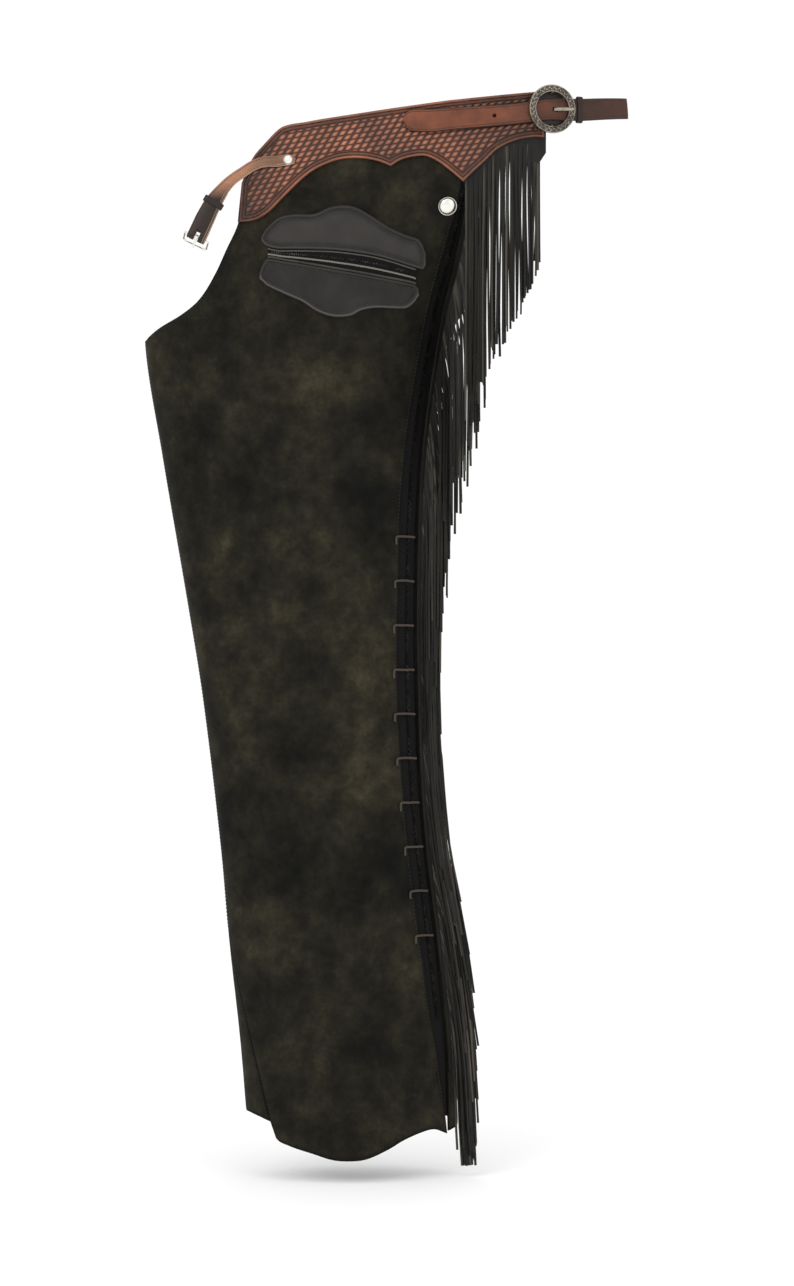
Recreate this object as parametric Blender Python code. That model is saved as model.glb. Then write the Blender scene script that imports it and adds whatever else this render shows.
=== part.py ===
"""One leg of a pair of fringed riding chaps, with its tooled yoke, belt and front strap.

The leg stands upright and open at the top and the hem. X runs across the front of the leg, from the
inner seam to the side seam. Y runs from the front to the back, and Z runs up. The origin is at the
waist, on the leg's middle plane. Sizes in the tables are millimetres, and meshes are made in metres.
"""

import math

import bmesh
import bpy
from mathutils import Vector
from mathutils.bvhtree import BVHTree

MM = 0.001

# Driving sizes
SUEDE = 2.0
YOKE_LEATHER = 3.4
BELT_LEATHER = 3.0
STRAP_LEATHER = 2.2
PATCH_LEATHER = 1.6
FRINGE_LEATHER = 1.6
TAPE = 1.2
TAPE_GAP = 2.4
SEAM_GAP = 0.3
LAY_GAP = 0.5
PANEL_MARGIN = 8.0
BORDER = 6.5
BORDER_RISE = 0.7

RING_RADIUS = 24.0
RING_BAND = 7.0
RING_DEPTH = 3.4
RING_X = 153.4
RING_Z = 21.0
CONCHO_RADIUS = 9.5
CONCHO_X = 52.0
CONCHO_Z = -74.5
RIVET_RADIUS = 5.0

# Level sections of the leg: height, left side, right side, depth to the front, depth to the back
SECTIONS = (
    (60, -240, 250, 90, 88),
    (0, -240, 250, 88, 86),
    (-50, -242, 230, 84, 82),
    (-90, -246, 162, 77, 76),
    (-130, -250, 106, 70, 69),
    (-202, -254, 53, 62, 62),
    (-319, -236, 35, 58, 59),
    (-465, -211, 29, 54, 56),
    (-565, -195, 30, 51, 54),
    (-715, -177, 37, 50, 53),
    (-815, -168, 51, 51, 53),
    (-915, -157, 60, 52, 54),
    (-1040, -147, 66, 53, 55),
)

# Shares of the way from the crotch level to the hem where both panels have a row of points
LEG_ROWS = (0, 0.025, 0.05, 0.08, 0.115, 0.155, 0.2, 0.26, 0.33, 0.41, 0.49, 0.57, 0.64, 0.7, 0.75)
LEG_ROWS += (0.8, 0.85, 0.9, 0.95, 1)
THIGH_ROWS = (0, 0.2, 0.4, 0.58, 0.74, 0.88, 0.96)
CROTCH = -202

# Soft folds: angle round the leg, height, half width in degrees, half length, depth, lean per mm
FOLDS = (
    (70, -520, 9, 70, 1.6, -0.10),
    (104, -600, 10, 90, 1.4, 0.08),
    (126, -420, 8, 80, 1.5, 0.05),
    (40, -820, 10, 90, 1.8, -0.06),
    (112, -900, 9, 70, 1.3, 0.07),
    (214, -560, 12, 80, 2.6, 0.10),
    (250, -640, 13, 70, 2.8, -0.12),
    (300, -560, 12, 80, 2.4, 0.10),
    (268, -860, 12, 100, 2.2, 0.05),
)

# Edge of the front panel from the yoke down to the crotch: height, place across
CROTCH_EDGE = (
    (-70, -152.4),
    (-93, -158),
    (-116, -169),
    (-141, -181),
    (-165, -197),
    (-179, -215),
    (-191, -238),
    (CROTCH, -254),
)

# Inner leg seam below the crotch: height, angle round the leg
INNER_SEAM = ((CROTCH, 0), (-700, 0), (-765, 2), (-830, 14), (-900, 26), (-982, 39), (-1040, 46))

# Side zip: height, front panel's edge, back panel's edge
SIDE_ZIP = (
    (0, 68, 74),
    (-51, 66, 72),
    (-85, 59, 67),
    (-130, 46, 58),
    (-179, 32.6, 46),
    (-319, 10, 26),
    (-465, 3, 21),
    (-565, 3, 22),
    (-640, 7, 24.5),
    (-715, 14, 30.5),
    (-805, 25, 41),
    (-880, 35, 49),
    (-925, 43, 52.5),
    (-1004, 53, 54.6),
    (-1040, 55, 56.6),
)

ZIP_TOP = -74
ZIP_LOW = -886

# Front panel's top edge, hidden under the yoke: place across, height
FRONT_TOP = ((-156, -78), (-130, -70), (-104, -47), (-80, -31), (-58, -21), (-20, -15), (30, -14), (72, -20))

# Hem of the front panel: place across, height
FRONT_HEM = (
    (-126, -989),
    (-120, -1005),
    (-107, -1012),
    (-83, -1019),
    (-62, -1025),
    (-44, -1026),
    (-28, -1024),
    (-7, -1015),
    (9, -1006),
    (27, -999),
    (40, -997),
    (54, -1003),
)

# Back panel from the side zip (0) to the inner seam (1): share of the way, top edge, hem
BACK_EDGES = (
    (0, -62, -1000),
    (0.04, -100, -998),
    (0.08, -125, -996),
    (0.15, -150, -993),
    (0.3, -175, -990),
    (0.5, -192, -986),
    (0.75, -203, -983),
    (0.9, -205, -982),
    (0.96, -204, -985),
    (1, CROTCH, -989),
)

# Rungs of the yoke from its top edge to its scalloped lower edge: top x, top z, low x, low z
YOKE_RUNGS = (
    (-151.5, -51, -155.3, -89.5),
    (-147, -40, -145, -89),
    (-140, -26, -136, -87),
    (-130.5, -15, -125, -80.5),
    (-115, 0.4, -115, -71),
    (-104, 5, -104, -60),
    (-89, 7, -89, -46.5),
    (-73, 9.5, -75, -37.5),
    (-55, 12, -55, -30.3),
    (-35, 14.8, -35, -29),
    (-17, 17.4, -17, -32),
    (-4, 19.3, -4, -37),
    (5, 20.6, 5, -31.3),
    (17, 22.3, 17, -27.8),
    (30, 24.2, 30, -27),
    (42, 26, 42, -32),
    (55, 27.8, 56, -42),
    (67, 29.2, 67, -51),
    (78, 30.6, 78, -40.5),
    (89, 31.9, 89, -30.5),
    (101, 33.4, 101, -19),
    (118, 35.5, 118, -10.5),
    (134, 37.5, 135, -6.5),
    (142.5, 38.5, 147.5, -6),
)

# Belt: place across, middle height, width
BELT = (
    (8, 8.2, 7),
    (10, 8.2, 14),
    (14, 7.8, 19.5),
    (20, 7.3, 22),
    (35, 7.2, 22.4),
    (60, 9.6, 21.8),
    (90, 12.2, 21),
    (120, 15.6, 20.4),
    (138, 18.8, 20.6),
    (150, 20.6, 21),
    (155, 21, 21.2),
    (159, 21.2, 21.4),
    (170, 21.6, 21.8),
    (182, 22, 22),
    (205, 24.6, 21.4),
    (228.5, 27.4, 20.6),
)
PRONG_SLOT_CELL = 10
PRONG_SLOT = 4.4

# Pocket patches on the front panel: place across, top edge, bottom edge
POCKET_UPPER = (
    (-133, -104, -108.5),
    (-128, -96.5, -113.5),
    (-116, -86, -116.8),
    (-101, -82.5, -117),
    (-80, -82.5, -117.4),
    (-64, -76, -117.9),
    (-50.5, -74.4, -119),
    (-38.5, -76.4, -120.4),
    (-24, -84, -122.5),
    (-8, -94, -126),
    (10, -102, -131),
    (23, -106, -134.5),
    (28, -112, -135),
    (31, -120, -131),
)
POCKET_LOWER = (
    (-135, -140, -146),
    (-131.5, -131, -149),
    (-127, -125.8, -153),
    (-108, -128.5, -162),
    (-92, -131, -169),
    (-80, -133, -177),
    (-68, -135, -182),
    (-56, -137, -183.6),
    (-42.5, -139, -181.6),
    (-34.5, -140.3, -177),
    (-21, -142.5, -174),
    (-4, -145.3, -174),
    (11, -147.7, -173),
    (19, -149.5, -167),
    (24, -153.5, -160),
)
WELT_FROM = -126
WELT_TO = 20
WELT_STEPS = 12

# Front strap down to the bar of its buckle: across, depth where it hangs off the yoke, height, width
FRONT_STRAP = (
    (-98, None, -31, 9),
    (-104.5, None, -29.8, 11),
    (-116, None, -30.8, 11),
    (-128, None, -30.8, 10.5),
    (-139, None, -34.2, 10.5),
    (-150.4, -73.6, -40.5, 10.5),
    (-162, -74.2, -48.8, 11),
    (-171, -75.6, -58.5, 13),
    (-180, -77.2, -71.5, 17),
    (-188, -78.0, -87, 19),
    (-194.6, -78.0, -101, 19),
)
STRAP_END_DOWN = Vector((-0.43, 0, -0.903)).normalized()
STRAP_END_ACROSS = Vector((0.903, 0, -0.43)).normalized()
STRAP_FRONT = Vector((0, -1, 0))
SMALL_BAR_RADIUS = 1.3
SMALL_BAR_CLEAR = 0.5
SMALL_BAR_DROP = 5.0
SMALL_FRAME_WIDTH = 25.0
SMALL_FRAME_LENGTH = 14.0
SMALL_FRAME_TILT = 60.0
SMALL_WIRE = 1.3

# Fringe on the side seam
SEAM_FRINGE_TOP = -82.0
SEAM_FRINGE_LOW = -940.0
SEAM_STRANDS = 30
SEAM_STRAND_LENGTH = 186.0
SEAM_LOWEST_TIP = -1036.0
SEAM_STRAND_WIDTH = 1.9
SEAM_HEADING = (0.8, 3.3, 5.8)
HEADING_GAP = 0.75
SEAM_DRIFT = 0.1
SEAM_PLUMB_DRIFT = 0.02
SEAM_SET_OFF = 3.0
SEAM_TURN = 7.0
STRAND_CLEAR = 0.8
SEAM_RINGS = (4, 12, 45, 85, 130)
STAND_OFF = 0.6

# Fringe under the back arc of the yoke
YOKE_FRINGE_FROM = 75.0
YOKE_FRINGE_TO = 144.0
YOKE_STRANDS = 26
YOKE_STRAND_SHARE = 0.7
YOKE_HEADING_LOW = ((74, -54), (84, -50), (96, -45), (120, -43), (135, -42), (144, -30), (152, -18))
YOKE_FRINGE_TIPS = (
    (70, -278),
    (81, -252),
    (88, -241),
    (97, -224),
    (105, -210),
    (112, -196),
    (122, -176),
    (132, -158),
    (142, -131),
    (150, -120),
)

# Thong loops down the side zip: first height, spacing, how many
THONG_TOP = -400.0
THONG_STEP = 44.6
THONGS = 10

# Colours and finishes: red, green, blue, roughness, metallic
FINISHES = {
    "suede": (0.026, 0.024, 0.017, 0.85, 0),
    "tooled": (0.19, 0.065, 0.028, 0.5, 0),
    "belt": (0.16, 0.05, 0.022, 0.42, 0),
    "smooth": (0.022, 0.021, 0.02, 0.4, 0),
    "fringe": (0.022, 0.02, 0.017, 0.6, 0),
    "tape": (0.006, 0.006, 0.006, 0.8, 0),
    "silver": (0.55, 0.5, 0.42, 0.3, 1),
    "antique": (0.3, 0.25, 0.2, 0.4, 1),
}


def run(table, column):
    """A smooth function through one column of a table whose first column rises or falls."""
    rows = sorted(table)
    xs = [row[0] for row in rows]
    ys = [row[column] for row in rows]
    slopes = []
    for i in range(len(xs)):
        a = max(i - 1, 0)
        b = min(i + 1, len(xs) - 1)
        slopes.append((ys[b] - ys[a]) / (xs[b] - xs[a]))

    def value(x):
        x = min(max(x, xs[0]), xs[-1])
        i = 0
        while i < len(xs) - 2 and x > xs[i + 1]:
            i += 1
        h = xs[i + 1] - xs[i]
        t = (x - xs[i]) / h
        start = (2 * t**3 - 3 * t**2 + 1) * ys[i] + (t**3 - 2 * t**2 + t) * h * slopes[i]
        end = (3 * t**2 - 2 * t**3) * ys[i + 1] + (t**3 - t**2) * h * slopes[i + 1]
        return start + end

    return value


left_side = run(SECTIONS, 1)
right_side = run(SECTIONS, 2)
front_depth = run(SECTIONS, 3)
back_depth = run(SECTIONS, 4)
crotch_edge = run(CROTCH_EDGE, 1)
inner_seam = run(INNER_SEAM, 1)
zip_front = run(SIDE_ZIP, 1)
zip_back = run(SIDE_ZIP, 2)
front_top = run(FRONT_TOP, 1)
front_hem = run(FRONT_HEM, 1)
back_top = run(BACK_EDGES, 1)
back_hem = run(BACK_EDGES, 2)
yoke_low = run([(row[2], row[3]) for row in YOKE_RUNGS], 1)
belt_middle = run(BELT, 1)


def fold_depth(angle, z):
    """How far the folds draw the leather in at a place on the leg."""
    depth = 0
    for fold_angle, fold_z, half_width, half_length, deep, lean in FOLDS:
        off = (angle - fold_angle - lean * (z - fold_z)) / half_width
        along = (z - fold_z) / half_length
        depth += deep * math.exp(-(off**2) - along**2)
    return depth


def bare(angle, z):
    """A point of the leather's outer face, without its folds."""
    middle = (left_side(z) + right_side(z)) / 2
    half = (right_side(z) - left_side(z)) / 2
    turn = math.radians(angle)
    deep = front_depth(z) if math.sin(turn) > 0 else back_depth(z)
    return Vector((middle - half * math.cos(turn), -deep * math.sin(turn), z))


def outward(angle, z):
    """The direction out of the leather."""
    round_way = bare(angle + 0.5, z) - bare(angle - 0.5, z)
    up_way = bare(angle, z + 2) - bare(angle, z - 2)
    return round_way.cross(up_way).normalized()


def skin(angle, z, lift):
    """A point over the outer face of the leg by a lift, or inside it by a negative one."""
    return bare(angle, z) + outward(angle, z) * (lift - fold_depth(angle, z))


def angle_at(x, z):
    """The angle round the front of the leg of a place across."""
    middle = (left_side(z) + right_side(z)) / 2
    half = (right_side(z) - left_side(z)) / 2
    return math.degrees(math.acos(max(-1, min(1, (middle - x) / half))))


def front(x, z, lift):
    """A point over the front of the leg."""
    return skin(angle_at(x, z), z, lift)


panels = {}


def keep_panel(name, grid):
    """Keeps a panel's outer faces, and a margin past its sides, so that other pieces lie on them."""
    rows = len(grid[0])
    first = [a + (a - b).normalized() * PANEL_MARGIN for a, b in zip(grid[0], grid[1])]
    last = [a + (a - b).normalized() * PANEL_MARGIN for a, b in zip(grid[-1], grid[-2])]
    grid = [first] + grid + [last]
    points = [point for column in grid for point in column]
    faces = []
    for i in range(len(grid) - 1):
        for j in range(rows - 1):
            a = i * rows + j
            faces.append((a, a + 1, a + rows + 1))
            faces.append((a, a + rows + 1, a + rows))
    panels[name] = BVHTree.FromPolygons(points, faces)


def on_panel(name, angle, z, lift):
    """A point over a panel's own outer face."""
    out = outward(angle, z)
    base = bare(angle, z)
    hit = panels[name].ray_cast(base + out * 20, -out, 40)[0]
    if hit is None:
        hit = skin(angle, z, 0)
    return hit + out * lift


def on_front(x, z, lift):
    """A point over the front panel's own outer face."""
    return on_panel("leg_front", angle_at(x, z), z, lift)


def finish(name):
    """The material of one finish."""
    material = bpy.data.materials.get(name)
    if material is None:
        red, green, blue, rough, metal = FINISHES[name]
        material = bpy.data.materials.new(name)
        material.use_nodes = True
        shader = material.node_tree.nodes["Principled BSDF"]
        shader.inputs["Base Color"].default_value = (red, green, blue, 1)
        shader.inputs["Roughness"].default_value = rough
        shader.inputs["Metallic"].default_value = metal
        material.diffuse_color = (red, green, blue, 1)
    return material


def add(name, bm, material, smooth=True, origin=Vector((0, 0, 0))):
    """Makes an object of a closed mesh in millimetres, with its origin at a place."""
    bmesh.ops.recalc_face_normals(bm, faces=bm.faces)
    for vertex in bm.verts:
        vertex.co = (vertex.co - origin) * MM
    mesh = bpy.data.meshes.new(name)
    bm.to_mesh(mesh)
    bm.free()
    mesh.materials.append(finish(material))
    if smooth:
        mesh.shade_smooth()
        mesh.set_sharp_from_angle(angle=math.radians(40))
    part = bpy.data.objects.new(name, mesh)
    part.location = origin * MM
    bpy.context.collection.objects.link(part)
    return part


def sheet(bm, outer, inner, keep=None, closed=False):
    """Adds a wall between two grids of points, without the cells that keep leaves out."""
    rows = len(outer)
    columns = len(outer[0])
    tops = [[bm.verts.new(point) for point in row] for row in outer]
    lows = [[bm.verts.new(point) for point in row] for row in inner]
    wide = columns if closed else columns - 1
    cells = {(i, j) for i in range(rows - 1) for j in range(wide) if keep is None or keep(i, j)}
    for i, j in sorted(cells):
        k = (j + 1) % columns
        for side in (tops, lows):
            a, b, c, d = side[i][j], side[i][k], side[i + 1][k], side[i + 1][j]
            bm.faces.new((a, b, c))
            bm.faces.new((a, c, d))
        sides = (
            ((i - 1, j), (i, j), (i, k)),
            ((i + 1, j), (i + 1, k), (i + 1, j)),
            ((i, (j - 1) % columns if closed else j - 1), (i + 1, j), (i, j)),
            ((i, k if closed else j + 1), (i, k), (i + 1, k)),
        )
        for other, (a, b), (c, d) in sides:
            if other not in cells:
                bm.faces.new((tops[a][b], lows[a][b], lows[c][d], tops[c][d]))
    loose = [vertex for vertex in bm.verts if not vertex.link_faces]
    bmesh.ops.delete(bm, geom=loose, context="VERTS")
    return tops, lows


def wall(name, outer, inner, material, keep=None, closed=False):
    """One object that is a wall between two grids."""
    bm = bmesh.new()
    sheet(bm, outer, inner, keep, closed)
    return add(name, bm, material)


def ribbon(name, path, across, widths, thick, material, keep=None, closed=False, origin=Vector((0, 0, 0))):
    """A flat strip along a path, with the direction and the shares of its width at each point."""
    outer = []
    inner = []
    for i, point in enumerate(path):
        before = path[i - 1] if i or closed else path[0]
        after = path[(i + 1) % len(path)] if i < len(path) - 1 or closed else path[-1]
        normal = (after - before).cross(across[i]).normalized()
        outer.append([point + across[i] * w + normal * thick / 2 for w in widths[i]])
        inner.append([point + across[i] * w - normal * thick / 2 for w in widths[i]])
    if closed:
        outer = [list(column) for column in zip(*outer)]
        inner = [list(column) for column in zip(*inner)]
    bm = bmesh.new()
    sheet(bm, outer, inner, keep, closed)
    return add(name, bm, material, origin=origin)


def leg_front():
    """The front panel, from under the yoke to the hem, between the inner leg and the side zip."""
    columns = 20

    def angle(share, z):
        if z > CROTCH:
            start = angle_at(crotch_edge(z), z)
        else:
            start = inner_seam(z)
        end = angle_at(zip_front(z), z)
        gap = math.degrees(SEAM_GAP / 60)
        return start + gap + (end - start - gap) * share

    def meet(share, edge, low, high):
        """The height where a column crosses an edge curve."""
        for _ in range(24):
            z = (low + high) / 2
            if z > edge(bare(angle(share, z), z).x):
                high = z
            else:
                low = z
        return (low + high) / 2

    outer = []
    inner = []
    for j in range(columns + 1):
        share = j / columns
        top = meet(share, front_top, -120, 0)
        hem = meet(share, front_hem, -1040, -960) if j else FRONT_HEM[0][1]
        heights = [top + (CROTCH - top) * t for t in THIGH_ROWS]
        heights += [CROTCH + (hem - CROTCH) * t for t in LEG_ROWS]
        outer.append([skin(angle(share, z), z, 0) for z in heights])
        inner.append([skin(angle(share, z), z, -SUEDE) for z in heights])
    keep_panel("leg_front", outer)
    wall("leg_front", outer, inner, "suede")


def leg_back():
    """The back panel, from the side zip round behind the leg to the inner seam."""
    columns = 18

    def angle(share, z):
        start = angle_at(zip_back(z), z)
        end = 360 + inner_seam(z)
        return start + (end - start) * share

    outer = []
    inner = []
    for j in range(columns + 1):
        share = (j / columns) ** 1.15
        top = back_top(share)
        hem = back_hem(share)
        heights = [top + (hem - top) * t for t in LEG_ROWS]
        outer.append([skin(angle(share, z), z, 0) for z in heights])
        inner.append([skin(angle(share, z), z, -SUEDE) for z in heights])
    keep_panel("leg_back", outer)
    wall("leg_back", outer, inner, "suede")


def yoke():
    """The tooled yoke, with its border raised along the top and the scalloped edge."""
    outer = []
    inner = []
    for top_x, top_z, low_x, low_z in YOKE_RUNGS:
        height = math.hypot(top_x - low_x, top_z - low_z)
        step = BORDER / height
        places = (0, step, step * 1.2, 0.4, 0.6, 1 - step * 1.2, 1 - step, 1)
        rises = (1, 1, 0, 0, 0, 0, 1, 1)
        tops = []
        lows = []
        for t, rise in zip(places, rises):
            x = top_x + (low_x - top_x) * t
            z = top_z + (low_z - top_z) * t
            tops.append(front(x, z, LAY_GAP + YOKE_LEATHER - BORDER_RISE * (1 - rise)))
            lows.append(front(x, z, LAY_GAP))
        outer.append(tops)
        inner.append(lows)
    wall("yoke", outer, inner, "tooled")


def patch(name, table, thick, material):
    """A cut patch on the front panel, from its top and bottom edges."""
    outer = []
    inner = []
    for x, top, low in table:
        heights = [top + (low - top) * t for t in (0, 0.25, 0.5, 0.75, 1)]
        outer.append([on_front(x, z, LAY_GAP + thick) for z in heights])
        inner.append([on_front(x, z, LAY_GAP) for z in heights])
    wall(name, outer, inner, material)


def pocket():
    """The shaped zip pocket: two patches with the welt between them."""
    patch("pocket_upper", POCKET_UPPER, PATCH_LEATHER, "smooth")
    patch("pocket_lower", POCKET_LOWER, PATCH_LEATHER, "smooth")
    upper = run(POCKET_UPPER, 2)
    lower = run(POCKET_LOWER, 1)
    welt = []
    for i in range(WELT_STEPS + 1):
        x = WELT_FROM + (WELT_TO - WELT_FROM) * i / WELT_STEPS
        welt.append((x, upper(x) - 2 * SEAM_GAP, lower(x) + 2 * SEAM_GAP))
    patch("pocket_welt", welt, TAPE, "tape")


def zip_tape():
    """The tape of the side zip, under the edges of both panels."""
    under = 3.5
    depth = SUEDE + TAPE_GAP
    outer = []
    inner = []
    steps = 24
    for i in range(steps + 1):
        z = ZIP_TOP + (ZIP_LOW - ZIP_TOP) * i / steps
        a = angle_at(zip_front(z), z)
        b = angle_at(zip_back(z), z)
        rate = (bare(b, z) - bare(a, z)).length / (b - a)
        places = [("leg_front", a - under / rate), ("leg_front", a - 1)]
        places += [("leg_back", b + 1), ("leg_back", b + under / rate)]
        outer.append([on_panel(panel, place, z, -depth) for panel, place in places])
        inner.append([on_panel(panel, place, z, -depth - TAPE) for panel, place in places])
    wall("zip_tape", outer, inner, "tape")


def thongs():
    """The lacing loops over the side zip, each a bar across with a leg down."""
    width = 2.2
    thick = 1.4
    leg = 9.0
    for number in range(THONGS):
        z = THONG_TOP - THONG_STEP * number
        start = zip_front(z) - 5
        end = zip_back(z) - 3
        xs = [start, start + width, (start + end) / 2, end - width, end]
        zs = [z, z - width, z - leg]
        outer = [[front(x, height, LAY_GAP + thick) for height in zs] for x in xs]
        inner = [[front(x, height, LAY_GAP) for height in zs] for x in xs]
        wall(f"thong_{number + 1:02d}", outer, inner, "fringe", keep=lambda i, j: j == 0 or i == 0)


def belt_lift():
    """How far the belt's inner face stands over the leg's outer face."""
    return LAY_GAP + YOKE_LEATHER + SEAM_GAP + 0.2


def belt():
    """The belt, with its rounded tip and the slot for the ring buckle's prong."""
    outer = []
    inner = []
    for x, middle, width in BELT:
        half = PRONG_SLOT / 2
        heights = [middle + width / 2, middle + half, middle - half, middle - width / 2]
        outer.append([front(x, z, belt_lift() + BELT_LEATHER) for z in heights])
        inner.append([front(x, z, belt_lift()) for z in heights])
    wall("belt", outer, inner, "belt", keep=lambda i, j: not (i == PRONG_SLOT_CELL and j == 1))


def belt_frame(x, z):
    """The way across, the way up and the way out at a place on the belt."""
    out = outward(angle_at(x, z), z)
    up = (Vector((0, 0, 1)) - out * out.z).normalized()
    return up.cross(out), up, out


def ring_buckle():
    """The round buckle, a ring over the belt with a bowed bar behind it."""
    side, up, out = belt_frame(RING_X, RING_Z)
    centre = front(RING_X, RING_Z, belt_lift() + BELT_LEATHER + LAY_GAP)
    around = 32
    profile = (
        (RING_RADIUS, 0.6),
        (RING_RADIUS - 0.5, RING_DEPTH * 0.6),
        (RING_RADIUS - 2.2, RING_DEPTH),
        (RING_RADIUS - RING_BAND + 1.6, RING_DEPTH * 0.9),
        (RING_RADIUS - RING_BAND, RING_DEPTH * 0.5),
        (RING_RADIUS - RING_BAND, 0),
        (RING_RADIUS - 0.6, 0),
    )
    bm = bmesh.new()
    rings = []
    for i in range(around):
        turn = 2 * math.pi * i / around
        way = side * math.cos(turn) + up * math.sin(turn)
        rings.append([bm.verts.new(centre + way * r + out * h) for r, h in profile])
    for i in range(around):
        for j in range(len(profile)):
            k = (j + 1) % len(profile)
            n = (i + 1) % around
            bm.faces.new((rings[i][j], rings[i][k], rings[n][k], rings[n][j]))
    ring = add("ring_buckle", bm, "antique")

    bow = 8.2
    width = 1.2
    stations = ((-20.5, 1.4), (-16.5, 1.0), (-12.8, -bow + 1.5), (-11.2, -bow), (11.2, -bow), (12.8, -bow + 1.5))
    stations += ((16.5, 1.0), (20.5, 1.4))
    bm = bmesh.new()
    loops = []
    for along, height in stations:
        corner = centre + up * along + out * height
        offsets = ((-width, -1), (width, -1), (width, 1), (-width, 1))
        loops.append([bm.verts.new(corner + side * a + out * b) for a, b in offsets])
    for a, b in zip(loops, loops[1:]):
        for j in range(4):
            k = (j + 1) % 4
            bm.faces.new((a[j], a[k], b[k], b[j]))
    bm.faces.new(loops[0])
    bm.faces.new(loops[-1])
    bar = add("ring_bar_shape", bm, "antique")
    bar.hide_render = True
    bar.display_type = "WIRE"
    join = ring.modifiers.new("bar", "BOOLEAN")
    join.operation = "UNION"
    join.object = bar
    join.solver = "EXACT"


def ring_parts():
    """The ring buckle's prong, the fold of leather that holds its bar, and the belt's keeper."""
    side, up, out = belt_frame(RING_X, RING_Z)
    base = front(RING_X, RING_Z, belt_lift() + BELT_LEATHER + LAY_GAP)
    bar = base - out * 8.2
    reach = RING_RADIUS - 3.0

    points = []
    for step in range(7):
        turn = math.radians(200 - 40 * step)
        points.append(bar + (side * math.cos(turn) - out * math.sin(turn)) * 2.4)
    points = points[:6]
    points.append(bar + side * 2.9 + out * 3.4)
    points.append(base + side * 3.2 - out * 1.6)
    points.append(base + side * 6.0 + out * 1.4)
    points.append(base + side * (RING_RADIUS - RING_BAND - 2) + out * (RING_DEPTH + 0.7))
    points.append(base + side * reach + out * (RING_DEPTH + 1.2))
    widths = [(-1.5, 1.5)] * (len(points) - 1) + [(-0.9, 0.9)]
    ribbon("ring_prong", points, [up] * len(points), widths, 1.3, "antique")

    loop = [front(126, RING_Z - 1, -1.2), front(139, RING_Z - 1, -1.2)]
    for turn in (240, 285, 330, 15, 60, 90):
        angle = math.radians(turn)
        loop.append(bar + side * 3.6 * math.cos(angle) + out * 3.4 * math.sin(angle))
    across = [up] * len(loop)
    shares = [(-7.5, -2.2, 2.2, 7.5)] * len(loop)
    ribbon("ring_chape", loop, across, shares, 1.4, "belt", keep=lambda i, j: not (j == 1 and i >= 1))

    keeper_x = 181.0
    side, up, out = belt_frame(keeper_x, belt_middle(keeper_x))
    middle = front(keeper_x, belt_middle(keeper_x), belt_lift() + BELT_LEATHER / 2)
    half_high = 11.0 + 0.9
    half_deep = BELT_LEATHER / 2 + 0.6
    wall_thick = 1.4
    loops = []
    for grow in (wall_thick, 0):
        high = half_high + grow
        deep = half_deep + grow
        corners = ((-high, -deep), (0, -deep), (high, -deep), (high, deep), (0, deep), (-high, deep))
        loops.append([[middle + side * a + up * h + out * d for h, d in corners] for a in (-2.6, 2.6)])
    wall("belt_keeper", loops[0], loops[1], "belt", closed=True)


def strap_point(number):
    """A point on the middle of the front strap."""
    x, y, z, _ = FRONT_STRAP[number]
    if y is None:
        return front(x, z, LAY_GAP + YOKE_LEATHER + SEAM_GAP + STRAP_LEATHER / 2)
    return Vector((x, y, z))


def small_bar():
    """The middle of the front buckle's bar."""
    back = SMALL_BAR_RADIUS + SMALL_BAR_CLEAR + STRAP_LEATHER / 2
    return strap_point(-1) + STRAP_END_DOWN * SMALL_BAR_DROP - STRAP_FRONT * back


def front_strap():
    """The front strap, riveted on the yoke, hanging free and folded back round a bar."""
    path = [strap_point(i) for i in range(len(FRONT_STRAP))]
    widths = [row[3] for row in FRONT_STRAP]
    across = []
    for i, point in enumerate(path):
        along = path[min(i + 1, len(path) - 1)] - path[max(i - 1, 0)]
        if i == len(path) - 1:
            along = STRAP_END_DOWN
        facing = outward(angle_at(point.x, point.z), point.z) if point.x > -130 else STRAP_FRONT
        across.append(along.cross(facing).normalized() * -1)
    bar = small_bar()
    around = SMALL_BAR_RADIUS + SMALL_BAR_CLEAR + STRAP_LEATHER / 2
    for turn in (90, 54, 18, -18, -54, -90):
        angle = math.radians(turn)
        path.append(bar + (STRAP_END_DOWN * math.cos(angle) + STRAP_FRONT * math.sin(angle)) * around)
        across.append(STRAP_END_ACROSS)
        widths.append(widths[-1])
    path[len(FRONT_STRAP) - 1] = path[len(FRONT_STRAP)] - STRAP_END_DOWN * SMALL_BAR_DROP * 1.4
    behind = Vector((0, STRAP_LEATHER + LAY_GAP, 0))
    path.append(bar - STRAP_FRONT * around - STRAP_END_DOWN * SMALL_BAR_DROP * 1.4)
    across.append(STRAP_END_ACROSS)
    widths.append(widths[-1])
    for i in (9, 8, 7):
        path.append(strap_point(i) + behind)
        across.append(across[i])
        widths.append(FRONT_STRAP[i][3])
    slot = 2.3
    shares = [(-w / 2, -slot, slot, w / 2) for w in widths]
    first = len(FRONT_STRAP) - 1
    ribbon(
        "front_strap",
        path,
        across,
        shares,
        STRAP_LEATHER,
        "belt",
        keep=lambda i, j: not (j == 1 and first <= i <= first + 6),
    )


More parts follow.
